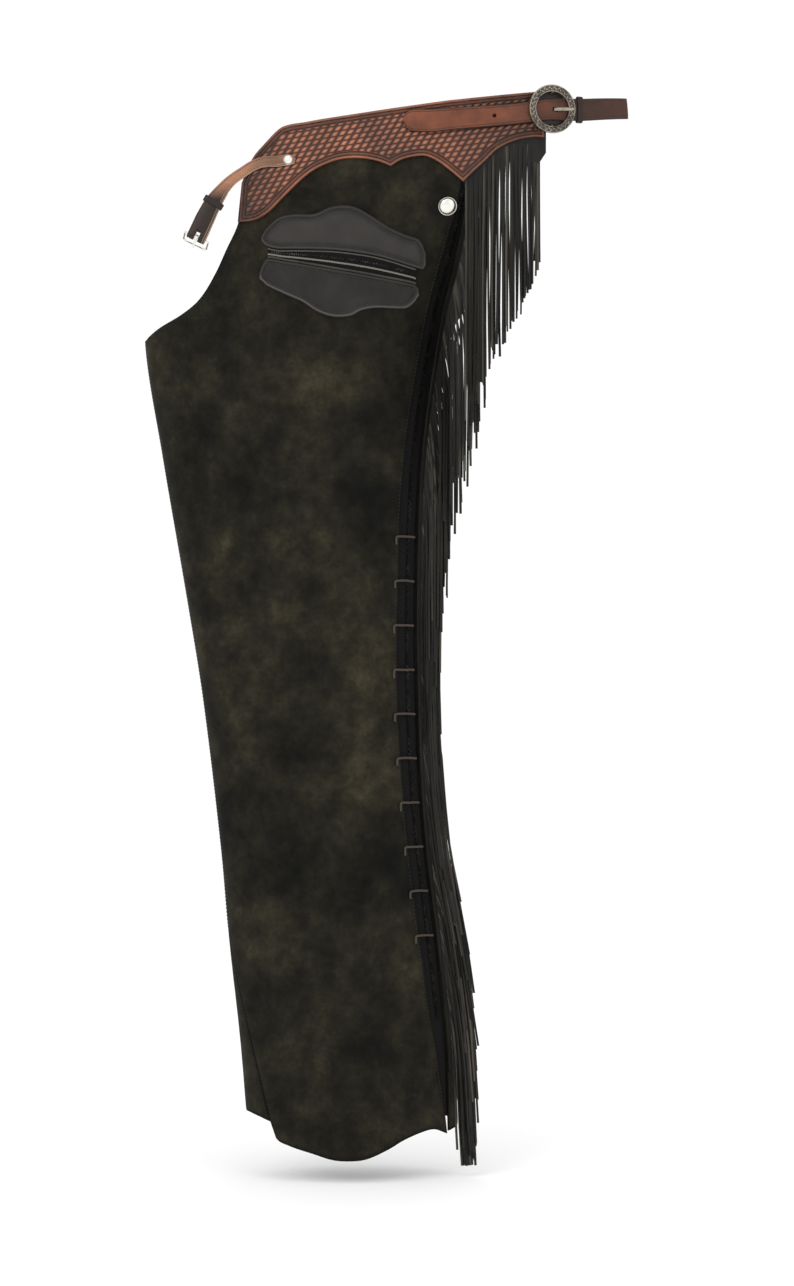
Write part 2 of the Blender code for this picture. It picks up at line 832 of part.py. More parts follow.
def strap_keeper():
    """The keeper round both layers of the front strap."""
    at = strap_point(8)
    along = (strap_point(9) - strap_point(7)).normalized()
    over = along.cross(STRAP_FRONT).normalized() * -1
    middle = at + Vector((0, (STRAP_LEATHER + LAY_GAP) / 2, 0))
    half_wide = FRONT_STRAP[8][3] / 2 + 0.9
    half_deep = STRAP_LEATHER + LAY_GAP / 2 + 0.4
    loops = []
    for grow in (1.3, 0):
        wide = half_wide + grow
        deep = half_deep + grow
        corners = ((-wide, -deep), (0, -deep), (wide, -deep), (wide, deep), (0, deep), (-wide, deep))
        loops.append([[middle + along * a + over * w + STRAP_FRONT * d for w, d in corners] for a in (-3, 3)])
    wall("strap_keeper", loops[0], loops[1], "belt", closed=True)


def frame_way(extra=0):
    """The direction in which the front buckle's frame lies from its bar."""
    tilt = math.radians(SMALL_FRAME_TILT + extra)
    return STRAP_END_DOWN * math.cos(tilt) - STRAP_FRONT * math.sin(tilt)


def front_buckle():
    """The small front buckle: a bent wire frame whose bar lies in the strap's fold, and its prong."""
    bar = small_bar()
    away = frame_way()
    half = SMALL_FRAME_WIDTH / 2
    round_corner = 3.0
    corners = (
        (-half, 0),
        (-half, SMALL_FRAME_LENGTH - round_corner),
        (-half + round_corner, SMALL_FRAME_LENGTH),
        (half - round_corner, SMALL_FRAME_LENGTH),
        (half, SMALL_FRAME_LENGTH - round_corner),
        (half, 0),
    )
    face = STRAP_END_ACROSS.cross(away).normalized()
    sides = 8
    loops = []
    bm = bmesh.new()
    flat = [Vector((a, b)) for a, b in corners]
    for i, corner in enumerate(flat):
        before = (corner - flat[i - 1]).normalized()
        after = (flat[(i + 1) % len(flat)] - corner).normalized()
        bisect = (before + after).normalized()
        normal = Vector((bisect.y, -bisect.x))
        stretch = 1 / max(0.5, normal.dot(Vector((before.y, -before.x))))
        ring = []
        for k in range(sides):
            turn = 2 * math.pi * k / sides
            in_plane = normal * math.cos(turn) * SMALL_WIRE * stretch
            spot = corner + in_plane
            point = bar + STRAP_END_ACROSS * spot.x + away * spot.y + face * math.sin(turn) * SMALL_WIRE
            ring.append(bm.verts.new(point))
        loops.append(ring)
    for a, b in zip(loops, loops[1:] + loops[:1]):
        for j in range(sides):
            k = (j + 1) % sides
            bm.faces.new((a[j], a[k], b[k], b[j]))
    add("front_buckle", bm, "silver", origin=bar)

    front_side = face if face.dot(STRAP_FRONT) > 0 else -face
    loop_radius = SMALL_BAR_RADIUS + 0.35 + 0.5
    points = []
    for step in range(7):
        turn = math.radians(330 - 40 * step)
        points.append(bar + (away * math.cos(turn) + front_side * math.sin(turn)) * loop_radius)
    lift = SMALL_WIRE + 0.9
    points.append(bar + away * 4.5 + front_side * lift)
    points.append(bar + away * (SMALL_FRAME_LENGTH + 1.5) + front_side * lift)
    widths = [(-1.3, 1.3)] * (len(points) - 1) + [(-0.7, 0.7)]
    ribbon("front_prong", points, [STRAP_END_ACROSS] * len(points), widths, 1.0, "silver", origin=bar)


def dome(name, x, z, lift, radius, height, material):
    """A domed cap with a flat back."""
    side, up, out = belt_frame(x, z)
    base = front(x, z, lift)
    around = 20
    profile = ((1, 0), (1, 0.22), (0.82, 0.62), (0.5, 0.9))
    bm = bmesh.new()
    rings = []
    for share, rise in profile:
        ring = []
        for i in range(around):
            turn = 2 * math.pi * i / around
            way = side * math.cos(turn) + up * math.sin(turn)
            ring.append(bm.verts.new(base + way * radius * share + out * height * rise))
        rings.append(ring)
    for a, b in zip(rings, rings[1:]):
        for i in range(around):
            k = (i + 1) % around
            bm.faces.new((a[i], a[k], b[k], b[i]))
    crown = bm.verts.new(base + out * height)
    for i in range(around):
        bm.faces.new((rings[-1][i], rings[-1][(i + 1) % around], crown))
    bm.faces.new(rings[0])
    add(name, bm, material)


def strand(bm, root, rings):
    """Draws a strand out of a root face through rings of four points."""
    last = root
    for ring in rings:
        fresh = [bm.verts.new(point) for point in ring]
        for j in range(4):
            k = (j + 1) % 4
            bm.faces.new((last[j], last[k], fresh[k], fresh[j]))
        last = fresh
    bm.faces.new(last)


def comb(name, outer, inner, root_rings, material):
    """A heading strip of two long edges, with a strand out of every other cell's low edge."""
    bm = bmesh.new()
    tops, lows = sheet(bm, outer, inner)
    for number, rings in enumerate(root_rings):
        i = 2 * number + 1
        a, b = tops[i][-1], tops[i + 1][-1]
        c, d = lows[i + 1][-1], lows[i][-1]
        face = next(f for f in a.link_faces if all(v in f.verts for v in (b, c, d)))
        bm.faces.remove(face)
        strand(bm, (a, b, c, d), rings)
    add(name, bm, material)


def beside_zip(z, away, lift):
    """A point over the back panel by a distance behind the side zip."""
    angle = angle_at(zip_back(z), z)
    rate = (bare(angle + 1, z) - bare(angle, z)).length
    return on_panel("leg_back", angle + away / rate, z, lift)


def hanging_ways(z):
    """The level directions of the seam's strands: beside each other, out of the leather, and through one."""
    angle = angle_at(zip_back(z), z)
    round_way = (bare(angle + 1, z) - bare(angle, z)).normalized()
    away = Vector((round_way.y, -round_way.x, 0))
    beside = (round_way + away * STAND_OFF).normalized()
    return beside, away, Vector((beside.y, -beside.x, 0))


def seam_fringe():
    """The fringe along the side seam: a heading behind the zip and strands that hang from it."""
    pitch = (SEAM_FRINGE_TOP - SEAM_FRINGE_LOW) / SEAM_STRANDS
    far = SEAM_HEADING[-1]
    low_lift = HEADING_GAP
    high_lift = HEADING_GAP + FRINGE_LEATHER
    mid_lift = (low_lift + high_lift) / 2
    heights = [SEAM_FRINGE_TOP + 2]
    for number in range(SEAM_STRANDS):
        root = SEAM_FRINGE_TOP - pitch * number
        heights += [root, root - SEAM_STRAND_WIDTH]
    heights.append(SEAM_FRINGE_LOW)
    outer = [[beside_zip(z, away, high_lift) for away in SEAM_HEADING] for z in heights]
    inner = [[beside_zip(z, away, low_lift) for away in SEAM_HEADING] for z in heights]
    up = Vector((0, 0, 1))
    strands = []
    for number in range(SEAM_STRANDS):
        root = SEAM_FRINGE_TOP - pitch * number - SEAM_STRAND_WIDTH / 2
        uneven = 12 * math.sin(2.4 * number) + 8 * math.sin(0.9 * number + 1)
        length = min(SEAM_STRAND_LENGTH + uneven, root - SEAM_LOWEST_TIP - max(0, uneven))
        rings = []
        side_way, out_way, thin_way = hanging_ways(root)
        start = beside_zip(root, far, mid_lift)
        for down in [ring for ring in SEAM_RINGS if ring < 0.8 * length] + [length]:
            moved = beside_zip(root - down, far, mid_lift) - start
            spread = max(SEAM_DRIFT * down + moved.dot(side_way), SEAM_PLUMB_DRIFT * down)
            aside = SEAM_SET_OFF * (1 - math.exp(-down / SEAM_TURN)) + spread
            over = max(0, moved.dot(out_way))
            middle = start - up * down + side_way * (STRAND_CLEAR + aside) + out_way * over
            wide = (side_way + up).normalized() if down == SEAM_RINGS[0] else side_way
            half = SEAM_STRAND_WIDTH / 2
            thin = FRINGE_LEATHER / 2
            signs = ((half, thin), (-half, thin), (-half, -thin), (half, -thin))
            rings.append([middle + wide * a + thin_way * b for a, b in signs])
        strands.append(rings)
    comb("seam_fringe", outer, inner, strands, "fringe")


def yoke_fringe():
    """The fringe under the back arc of the yoke, with strands that hang plumb to a slanting line."""
    pitch = (YOKE_FRINGE_TO - YOKE_FRINGE_FROM) / YOKE_STRANDS
    low_edge = run(YOKE_HEADING_LOW, 1)
    tips = run(YOKE_FRINGE_TIPS, 1)
    places = [YOKE_FRINGE_FROM - 1]
    for number in range(YOKE_STRANDS):
        start = YOKE_FRINGE_FROM + pitch * number
        places += [start, start + pitch * YOKE_STRAND_SHARE]
    places.append(YOKE_FRINGE_TO + 6)
    lift_out = 0.1
    lift_in = lift_out - FRINGE_LEATHER
    outer = []
    inner = []
    for x in places:
        top = yoke_low(min(x, 147)) + 7
        outer.append([front(x, z, lift_out) for z in (top, (top + low_edge(x)) / 2, low_edge(x))])
        inner.append([front(x, z, lift_in) for z in (top, (top + low_edge(x)) / 2, low_edge(x))])
    strands = []
    for number in range(YOKE_STRANDS):
        i = 2 * number + 1
        uneven = 6 * math.sin(1.9 * number) + 4 * math.sin(3.1 * number + 1)
        tip = tips(places[i]) + uneven
        sway = 1.3 * math.cos(math.pi * number)
        corners = (outer[i][-1], outer[i + 1][-1], inner[i + 1][-1], inner[i][-1])
        level = corners[0].z
        rings = []
        for share in (0.25, 1):
            drop = (tip - level) * share
            shift = Vector((0, sway * min(1, share * 4), drop))
            rings.append([corner + shift for corner in corners])
        strands.append(rings)
    comb("yoke_fringe", outer, inner, strands, "fringe")


def build():
    """Makes every piece of the leg."""
    for old in list(bpy.data.objects):
        bpy.data.objects.remove(old)
    leg_front()
    leg_back()
    yoke()
    pocket()
    zip_tape()
    thongs()
    belt()
    ring_buckle()
    ring_parts()
    front_strap()
    strap_keeper()
    front_buckle()
    rivet_x, _, rivet_z, _ = FRONT_STRAP[1]
    rivet_lift = LAY_GAP + YOKE_LEATHER + STRAP_LEATHER + 2.2 * SEAM_GAP
    dome("rivet", rivet_x, rivet_z, rivet_lift, RIVET_RADIUS, 2.4, "silver")
    dome("concho", CONCHO_X, CONCHO_Z, LAY_GAP, CONCHO_RADIUS, 4.6, "silver")
    seam_fringe()
    yoke_fringe()


build()
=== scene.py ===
"""Dresses one fringed leg of a pair of riding chaps: its leather, tooling, fringe, hardware and studio.

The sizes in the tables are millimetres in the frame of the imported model. X runs across the front of the
leg, Y from the front to the back, and Z up from the waist. Meshes are made in metres.
"""

import math

import bmesh
import bpy
import numpy as np
from mathutils import Matrix, Vector


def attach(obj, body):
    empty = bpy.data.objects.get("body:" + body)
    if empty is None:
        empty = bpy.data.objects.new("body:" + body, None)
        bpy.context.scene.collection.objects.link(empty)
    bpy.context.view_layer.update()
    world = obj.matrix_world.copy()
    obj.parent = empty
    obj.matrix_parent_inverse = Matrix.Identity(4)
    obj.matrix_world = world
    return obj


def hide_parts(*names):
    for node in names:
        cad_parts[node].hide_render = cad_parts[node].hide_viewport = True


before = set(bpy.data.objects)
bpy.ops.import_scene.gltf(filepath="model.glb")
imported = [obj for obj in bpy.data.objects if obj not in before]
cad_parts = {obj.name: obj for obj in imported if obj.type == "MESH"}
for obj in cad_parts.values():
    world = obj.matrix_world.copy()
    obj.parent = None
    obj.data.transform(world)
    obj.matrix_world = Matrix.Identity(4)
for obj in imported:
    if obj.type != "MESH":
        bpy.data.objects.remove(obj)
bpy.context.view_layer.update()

bl_info = {
    "name": "Fringed chap leg",
    "version": (1, 0, 0),
    "blender": (4, 5, 0),
    "location": "3D View > Sidebar > Chap leg",
    "description": "Builds the leather, fringe and hardware of one leg of a pair of riding chaps",
    "category": "Object",
}

MM = 0.001
LEG_BODY = "leg"

# Leathers and the gaps between them
SUEDE = 2.0
YOKE_LEATHER = 3.4
BELT_LEATHER = 3.0
STRAP_LEATHER = 2.2
PATCH_LEATHER = 1.6
SEAM_GAP = 0.3
LAY_GAP = 0.5
BELT_LIFT = LAY_GAP + YOKE_LEATHER + SEAM_GAP + 0.2

# Level sections of the leg: height, left side, right side, depth to the front, depth to the back
SECTIONS = (
    (60, -240, 250, 90, 88),
    (0, -240, 250, 88, 86),
    (-50, -242, 230, 84, 82),
    (-90, -246, 162, 77, 76),
    (-130, -250, 106, 70, 69),
    (-202, -254, 53, 62, 62),
    (-319, -236, 35, 58, 59),
    (-465, -211, 29, 54, 56),
    (-565, -195, 30, 51, 54),
    (-715, -177, 37, 50, 53),
    (-815, -168, 51, 51, 53),
    (-915, -157, 60, 52, 54),
    (-1040, -147, 66, 53, 55),
)
CROTCH = -202

# Soft folds: angle round the leg, height, half width in degrees, half length, depth, lean per mm
FOLDS = (
    (70, -520, 9, 70, 1.6, -0.10),
    (104, -600, 10, 90, 1.4, 0.08),
    (126, -420, 8, 80, 1.5, 0.05),
    (40, -820, 10, 90, 1.8, -0.06),
    (112, -900, 9, 70, 1.3, 0.07),
    (214, -560, 12, 80, 2.6, 0.10),
    (250, -640, 13, 70, 2.8, -0.12),
    (300, -560, 12, 80, 2.4, 0.10),
    (268, -860, 12, 100, 2.2, 0.05),
)

# Creases pressed in the suede: first angle and height, last angle and height, depth, half width
CREASES = (
    (62, -430, 34, -570, 1.7, 7),
    (58, -545, 46, -640, 1.4, 5),
    (78, -300, 98, -372, 1.2, 8),
    (112, -330, 128, -440, 1.4, 7),
    (88, -505, 70, -585, 1.0, 5),
    (104, -640, 122, -720, 1.5, 7),
    (60, -690, 84, -742, 1.2, 6),
    (44, -760, 36, -880, 1.5, 8),
    (92, -800, 108, -905, 1.4, 7),
    (70, -905, 58, -985, 1.2, 6),
    (30, -260, 44, -345, 1.5, 8),
    (132, -760, 126, -850, 1.0, 6),
    (190, -300, 214, -420, 2.6, 9),
    (232, -360, 258, -452, 2.8, 9),
    (300, -330, 282, -440, 2.6, 9),
    (236, -520, 204, -600, 3.4, 9),
    (268, -548, 300, -606, 3.2, 9),
    (330, -520, 310, -640, 2.4, 8),
    (220, -700, 250, -772, 2.8, 9),
    (300, -720, 282, -812, 2.6, 9),
    (200, -820, 220, -930, 2.2, 8),
    (330, -800, 340, -900, 2.2, 8),
)

# Edge of the front panel from the yoke down to the crotch: height, place across
CROTCH_EDGE = (
    (-70, -152.4),
    (-93, -158),
    (-116, -169),
    (-141, -181),
    (-165, -197),
    (-179, -215),
    (-191, -238),
    (CROTCH, -254),
)

# Inner leg seam below the crotch: height, angle round the leg
INNER_SEAM = ((CROTCH, 0), (-700, 0), (-765, 2), (-830, 14), (-900, 26), (-982, 39), (-1040, 46))

# Side zip: height, front panel's edge, back panel's edge
SIDE_ZIP = (
    (0, 68, 74),
    (-51, 66, 72),
    (-85, 59, 67),
    (-130, 46, 58),
    (-179, 32.6, 46),
    (-319, 10, 26),
    (-465, 3, 21),
    (-565, 3, 22),
    (-640, 7, 24.5),
    (-715, 14, 30.5),
    (-805, 25, 41),
    (-880, 35, 49),
    (-925, 43, 52.5),
    (-1004, 53, 54.6),
    (-1040, 55, 56.6),
)
ZIP_TOP = -50
ZIP_LOW = -890
TAPE_LOW = -984

# Front panel's top edge, hidden under the yoke: place across, height
FRONT_TOP = ((-156, -78), (-130, -70), (-104, -47), (-80, -31), (-58, -21), (-20, -15), (30, -14), (72, -20))

# Hem of the front panel: place across, height
FRONT_HEM = (
    (-126, -989),
    (-120, -1005),
    (-107, -1012),
    (-83, -1019),
    (-62, -1025),
    (-44, -1026),
    (-28, -1024),
    (-7, -1015),
    (9, -1006),
    (27, -999),
    (40, -997),
    (54, -1003),
)

# Back panel from the side zip (0) to the inner seam (1): share of the way, top edge, hem
BACK_EDGES = (
    (0, -62, -1000),
    (0.04, -100, -998),
    (0.08, -125, -996),
    (0.15, -150, -993),
    (0.3, -175, -990),
    (0.5, -192, -986),
    (0.75, -203, -983),
    (0.9, -205, -982),
    (0.96, -204, -985),
    (1, CROTCH, -989),
)

# Rungs of the yoke from its top edge to its scalloped lower edge: top x, top z, low x, low z
YOKE_RUNGS = (
    (-151.5, -51, -155.3, -89.5),
    (-147, -40, -145, -89),
    (-140, -26, -136, -87),
    (-130.5, -15, -125, -80.5),
    (-115, 0.4, -115, -71),
    (-104, 5, -104, -60),
    (-89, 7, -89, -46.5),
    (-73, 9.5, -75, -37.5),
    (-55, 12, -55, -30.3),
    (-35, 14.8, -35, -29),
    (-17, 17.4, -17, -32),
    (-4, 19.3, -4, -37),
    (5, 20.6, 5, -31.3),
    (17, 22.3, 17, -27.8),
    (30, 24.2, 30, -27),
    (42, 26, 42, -32),
    (55, 27.8, 56, -42),
    (67, 29.2, 67, -51),
    (78, 30.6, 78, -40.5),
    (89, 31.9, 89, -30.5),
    (101, 33.4, 101, -19),
    (118, 35.5, 118, -10.5),
    (134, 37.5, 135, -6.5),
    (142.5, 38.5, 147.5, -6),
)
YOKE_CUSPS = (0, 11, 17, 23)

# Belt: place across, middle height, width
BELT = (
    (8, 8.2, 7),
    (10, 8.2, 14),
    (14, 7.8, 19.5),
    (20, 7.3, 22),
    (35, 7.2, 22.4),
    (60, 9.6, 21.8),
    (90, 12.2, 21),
    (120, 15.6, 20.4),
    (138, 18.8, 20.6),
    (150, 20.6, 21),
    (159, 21.2, 21.4),
    (170, 21.6, 21.8),
    (182, 22, 22),
    (205, 24.6, 21.4),
    (228.5, 27.4, 20.6),
)
BELT_HOLE_X = 97.0
PRONG_SLOT_X = 157.0
RING_X = 153.4
RING_Z = 21.0
RING_RADIUS = 24.0
RING_BAND = 7.0
RING_DEPTH = 3.4

# Pocket patches on the front panel: place across, top edge, bottom edge
POCKET_UPPER = (
    (-133, -104, -108.5),
    (-128, -96.5, -113.5),
    (-116, -86, -116.8),
    (-101, -82.5, -117),
    (-80, -82.5, -117.4),
    (-64, -76, -117.9),
    (-50.5, -74.4, -119),
    (-38.5, -76.4, -120.4),
    (-24, -84, -122.5),
    (-8, -94, -126),
    (10, -102, -131),
    (23, -106, -134.5),
    (28, -112, -135),
    (31, -120, -131),
)
POCKET_LOWER = (
    (-135, -140, -146),
    (-131.5, -131, -149),
    (-127, -125.8, -153),
    (-108, -128.5, -162),
    (-92, -131, -169),
    (-80, -133, -177),
    (-68, -135, -182),
    (-56, -137, -183.6),
    (-42.5, -139, -181.6),
    (-34.5, -140.3, -177),
    (-21, -142.5, -174),
    (-4, -145.3, -174),
    (11, -147.7, -173),
    (19, -149.5, -167),
    (24, -153.5, -160),
)
WELT_FROM = -126
WELT_TO = 20

# Front strap down to the bar of its buckle: across, depth where it hangs off the yoke, height, width
FRONT_STRAP = (
    (-98, None, -31, 9),
    (-104.5, None, -29.8, 11),
    (-116, None, -30.8, 11),
    (-128, None, -30.8, 10.5),
    (-139, None, -34.2, 10.5),
    (-150.4, -73.6, -40.5, 10.5),
    (-162, -74.2, -48.8, 11),
    (-171, -75.6, -58.5, 13),
    (-180, -77.2, -71.5, 17),
    (-188, -78.0, -87, 19),
    (-194.6, -78.0, -101, 19),
)
STRAP_DOWN = np.array((-0.43, 0, -0.903)) / math.hypot(0.43, 0.903)
STRAP_ACROSS = np.array((0.903, 0, -0.43)) / math.hypot(0.43, 0.903)
STRAP_FRONT = np.array((0.0, -1.0, 0.0))
BAR_RADIUS = 1.3
BAR_CLEAR = 0.5
BAR_DROP = 5.0
# Slot for the prong in the strap's fold, taller on the outside so that the prong can swing
SLOT_WIDE = 4.6
SLOT_LOW = 6.6
SLOT_TOP = 2.9
SLOT_TOP_OUTSIDE = 12.2
SLOT_REACH = 8.0

CONCHO_X = 52.0
CONCHO_Z = -74.5
RIVET_X = -104.5
RIVET_Z = -29.8

# Fringe on the side seam
FRINGE_TOP = -64.0
FRINGE_LOW = -940.0
FRINGE_LENGTH = 186.0
FRINGE_LOWEST = -1036.0
FRINGE_HEADING = (0.8, 3.3, 5.8)
FRINGE_LEATHER = 1.6
FRINGE_RINGS = (3, 9, 22, 45, 70, 100, 135)

# Fringe under the back arc of the yoke: place across, lowest point
YOKE_HEADING_LOW = ((74, -54), (84, -50), (96, -45), (120, -43), (135, -42), (144, -30), (152, -18))
YOKE_FRINGE_TIPS = (
    (64, -300),
    (70, -284),
    (81, -252),
    (88, -241),
    (97, -224),
    (105, -210),
    (112, -196),
    (122, -176),
    (132, -158),
    (142, -131),
    (150, -120),
)
YOKE_FRINGE_FROM = 69.5
YOKE_FRINGE_TO = 144.0

# Lacing loops over the side zip
THONG_TOP = -400.0
THONG_STEP = 44.6
THONGS = 10

# Camera, floor and lights, in metres
CAMERA_AT = (0.002, -3.086, -0.508)
FLOOR_Z = -1.048


# Shapes worked out from the tables


def run(table, column):
    """A smooth function through one column of a table whose first column rises or falls."""
    rows = sorted(table)
    xs = np.array([row[0] for row in rows], float)
    ys = np.array([row[column] for row in rows], float)
    before = np.maximum(np.arange(len(xs)) - 1, 0)
    after = np.minimum(np.arange(len(xs)) + 1, len(xs) - 1)
    slopes = (ys[after] - ys[before]) / (xs[after] - xs[before])

    def value(x):
        x = np.clip(x, xs[0], xs[-1])
        i = np.clip(np.searchsorted(xs, x, side="right") - 1, 0, len(xs) - 2)
        h = xs[i + 1] - xs[i]
        t = (x - xs[i]) / h
        start = (2 * t**3 - 3 * t**2 + 1) * ys[i] + (t**3 - 2 * t**2 + t) * h * slopes[i]
        end = (3 * t**2 - 2 * t**3) * ys[i + 1] + (t**3 - t**2) * h * slopes[i + 1]
        return start + end

    return value


left_side = run(SECTIONS, 1)
right_side = run(SECTIONS, 2)
front_depth = run(SECTIONS, 3)
back_depth = run(SECTIONS, 4)
crotch_edge = run(CROTCH_EDGE, 1)
inner_seam = run(INNER_SEAM, 1)
zip_front = run(SIDE_ZIP, 1)
zip_back = run(SIDE_ZIP, 2)
front_top = run(FRONT_TOP, 1)
front_hem = run(FRONT_HEM, 1)
back_top = run(BACK_EDGES, 1)
back_hem = run(BACK_EDGES, 2)
belt_middle = run(BELT, 1)
belt_width = run(BELT, 2)


def unit(vectors):
    """Vectors of length one."""
    return vectors / np.maximum(np.linalg.norm(vectors, axis=-1, keepdims=True), 1e-12)


def smooth_step(x, low, high):
    """Rises smoothly from 0 at low to 1 at high."""
    t = np.clip((x - low) / (high - low), 0, 1)
    return t * t * (3 - 2 * t)


def drawn_in(angle, z):
    """How far folds and creases draw the leather in at a place on the leg."""
    depth = 0.0
    for fold_angle, fold_z, half_width, half_length, deep, lean in FOLDS:
        off = (angle - fold_angle - lean * (z - fold_z)) / half_width
        depth = depth + deep * np.exp(-(off**2) - ((z - fold_z) / half_length) ** 2)
    mm_per_degree = (right_side(z) - left_side(z)) / 2 * math.pi / 180
    for a0, z0, a1, z1, deep, half_width in CREASES:
        length = math.hypot((a1 - a0) * 2, z1 - z0)
        way_a = (a1 - a0) * 2 / length
        way_z = (z1 - z0) / length
        da = (angle - a0) * mm_per_degree
        dz = z - z0
        along = da * way_a + dz * way_z
        bow = 5 * np.sin(along / length * math.pi)
        off = (da * way_z - dz * way_a + bow) / half_width
        ends = smooth_step(along, -12, 0.4 * length) * (1 - smooth_step(along, 0.6 * length, length + 12))
        depth = depth + deep * ends * (np.exp(-(off**2)) - 0.45 * np.exp(-((off - 1.7) ** 2)))
    return depth


def bare(angle, z):
    """Points of the leather's outer face, without its folds."""
    angle, z = np.broadcast_arrays(np.asarray(angle, float), np.asarray(z, float))
    middle = (left_side(z) + right_side(z)) / 2
    half = (right_side(z) - left_side(z)) / 2
    turn = np.radians(angle)
    deep = np.where(np.sin(turn) > 0, front_depth(z), back_depth(z))
    return np.stack([middle - half * np.cos(turn), -deep * np.sin(turn), z], -1)


def outward(angle, z):
    """The direction out of the leather."""
    round_way = bare(angle + 0.5, z) - bare(angle - 0.5, z)
    up_way = bare(angle, z + 2) - bare(angle, z - 2)
    return unit(np.cross(round_way, up_way))


def skin(angle, z, lift):
    """Points over the outer face of the leg by a lift, or inside it by a negative one."""
    return bare(angle, z) + outward(angle, z) * np.asarray(lift - drawn_in(angle, z))[..., None]


def angle_at(x, z):
    """The angle round the front of the leg of a place across."""
    middle = (left_side(z) + right_side(z)) / 2
    half = (right_side(z) - left_side(z)) / 2
    return np.degrees(np.arccos(np.clip((middle - x) / half, -1, 1)))


def front(x, z, lift):
    """Points over the front of the leg."""
    x, z = np.broadcast_arrays(np.asarray(x, float), np.asarray(z, float))
    return skin(angle_at(x, z), z, lift)


def place_frame(x, z):
    """The ways across, up and out at a place on the front."""
    out = outward(angle_at(x, z), z)
    up = unit(np.array((0, 0, 1.0)) - out * out[2])
    return np.cross(up, out), up, out


def ripple(values, *waves):
    """A sum of sines: each wave is an amplitude, a frequency and a phase."""
    return sum(a * np.sin(f * values + p) for a, f, p in waves)


# Meshes


class Shape:
    """Gathers closed pieces of one mesh, with a number for each point that its material reads."""

    def __init__(self):
        self.points = []
        self.faces = []
        self.marks = []
        self.count = 0

    def add(self, points, faces, mark=0.0):
        """Adds points and the faces between them."""
        points = np.asarray(points, float).reshape(-1, 3)
        self.points.append(points)
        self.faces += [tuple(int(i) + self.count for i in face) for face in faces]
        self.marks.append(np.broadcast_to(np.asarray(mark, float).reshape(-1), (len(points),)))
        self.count += len(points)

    def loft(self, loops, mark=0.0, closed=False):
        """Adds a closed tube through loops of points."""
        loops = np.asarray(loops, float)
        n, m = loops.shape[:2]
        faces = []
        for i in range(n if closed else n - 1):
            k = (i + 1) % n
            for j in range(m):
                l = (j + 1) % m
                faces.append((i * m + j, i * m + l, k * m + l, k * m + j))
        if not closed:
            faces.append(tuple(range(m - 1, -1, -1)))
            faces.append(tuple((n - 1) * m + j for j in range(m)))
        self.add(loops, faces, mark)

    def sheet(self, outer, inner, mark=0.0, lining=None):
        """Adds a wall between two grids of points, its lining marked as its outer face unless it is given."""
        rows, columns = outer.shape[:2]
        size = rows * columns
        index = np.arange(size).reshape(rows, columns)
        top = np.stack([index[:-1, :-1], index[:-1, 1:], index[1:, 1:], index[1:, :-1]], -1).reshape(-1, 4)
        rim = list(index[0, :-1]) + list(index[:-1, -1]) + list(index[-1, :0:-1]) + list(index[:0:-1, 0])
        sides = [(q, p, p + size, q + size) for p, q in zip(rim, rim[1:] + rim[:1])]
        faces = [tuple(face) for face in top] + [tuple(face[::-1] + size) for face in top] + sides
        marks = np.broadcast_to(np.asarray(mark, float), (rows, columns)).reshape(-1)
        within = marks if lining is None else np.full(size, float(lining))
        points = np.concatenate([outer.reshape(-1, 3), inner.reshape(-1, 3)])
        self.add(points, faces, np.concatenate([marks, within]))

    def make(self, name, material, sharp=50):
        """Makes the object, with its faces turned outwards."""
        mesh = bpy.data.meshes.new(name)
        mesh.from_pydata((np.concatenate(self.points) * MM).tolist(), [], self.faces)
        mark = mesh.attributes.new("mark", "FLOAT", "POINT")
        mark.data.foreach_set("value", np.concatenate(self.marks).astype(np.float32))
        bm = bmesh.new()
        bm.from_mesh(mesh)
        bmesh.ops.recalc_face_normals(bm, faces=bm.faces)
        bm.to_mesh(mesh)
        bm.free()
        mesh.materials.append(material)
        mesh.shade_smooth()
        mesh.set_sharp_from_angle(angle=math.radians(sharp))
        piece = bpy.data.objects.new(name, mesh)
        bpy.context.collection.objects.link(piece)
        return piece


def settle(piece, slot, *nodes, body=LEG_BODY):
    """Puts a finished piece on its body and hides the solids that it stands for. The slot is not used."""
    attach(piece, body)
    if nodes:
        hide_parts(*nodes)
    return piece


def strap_section(half_wide, thick, groove=0.0, crown=0.0):
    """The outline of a strap's cut end, as pairs of across and out."""
    half = thick / 2
    edge = min(0.42 * thick, 0.25 * half_wide)
    line = half_wide - min(2.3, 0.4 * half_wide)
    lip = min(0.6, 0.12 * half_wide)
    top = ((line + lip, 0), (line, -groove), (line - lip, crown / 2), (0, crown))
    top += ((lip - line, crown / 2), (-line, -groove), (-line - lip, 0))
    loop = []
    for number, (right, up) in enumerate(((1, -1), (1, 1), (-1, 1), (-1, -1))):
        for turn in (0, 30, 60, 90):
            angle = math.radians(90 * number - 90 + turn)
            across = right * (half_wide - edge) + edge * math.cos(angle)
            loop.append((across, up * (half - edge) + edge * math.sin(angle)))
        if number == 1 and groove:
            loop += [(w, half + h) for w, h in top]
    return loop


def burnish(section, half_wide, thick):
    """How dark each point of a strap's section is: its edges, and the creases beside them."""
    shades = []
    for w, h in section:
        crease = thick / 2 - 0.02 > h > 0.2 * thick and abs(w) < half_wide - 1
        shades.append(1.0 if abs(w) > half_wide - 0.9 else (0.8 if crease else 0.0))
    return shades


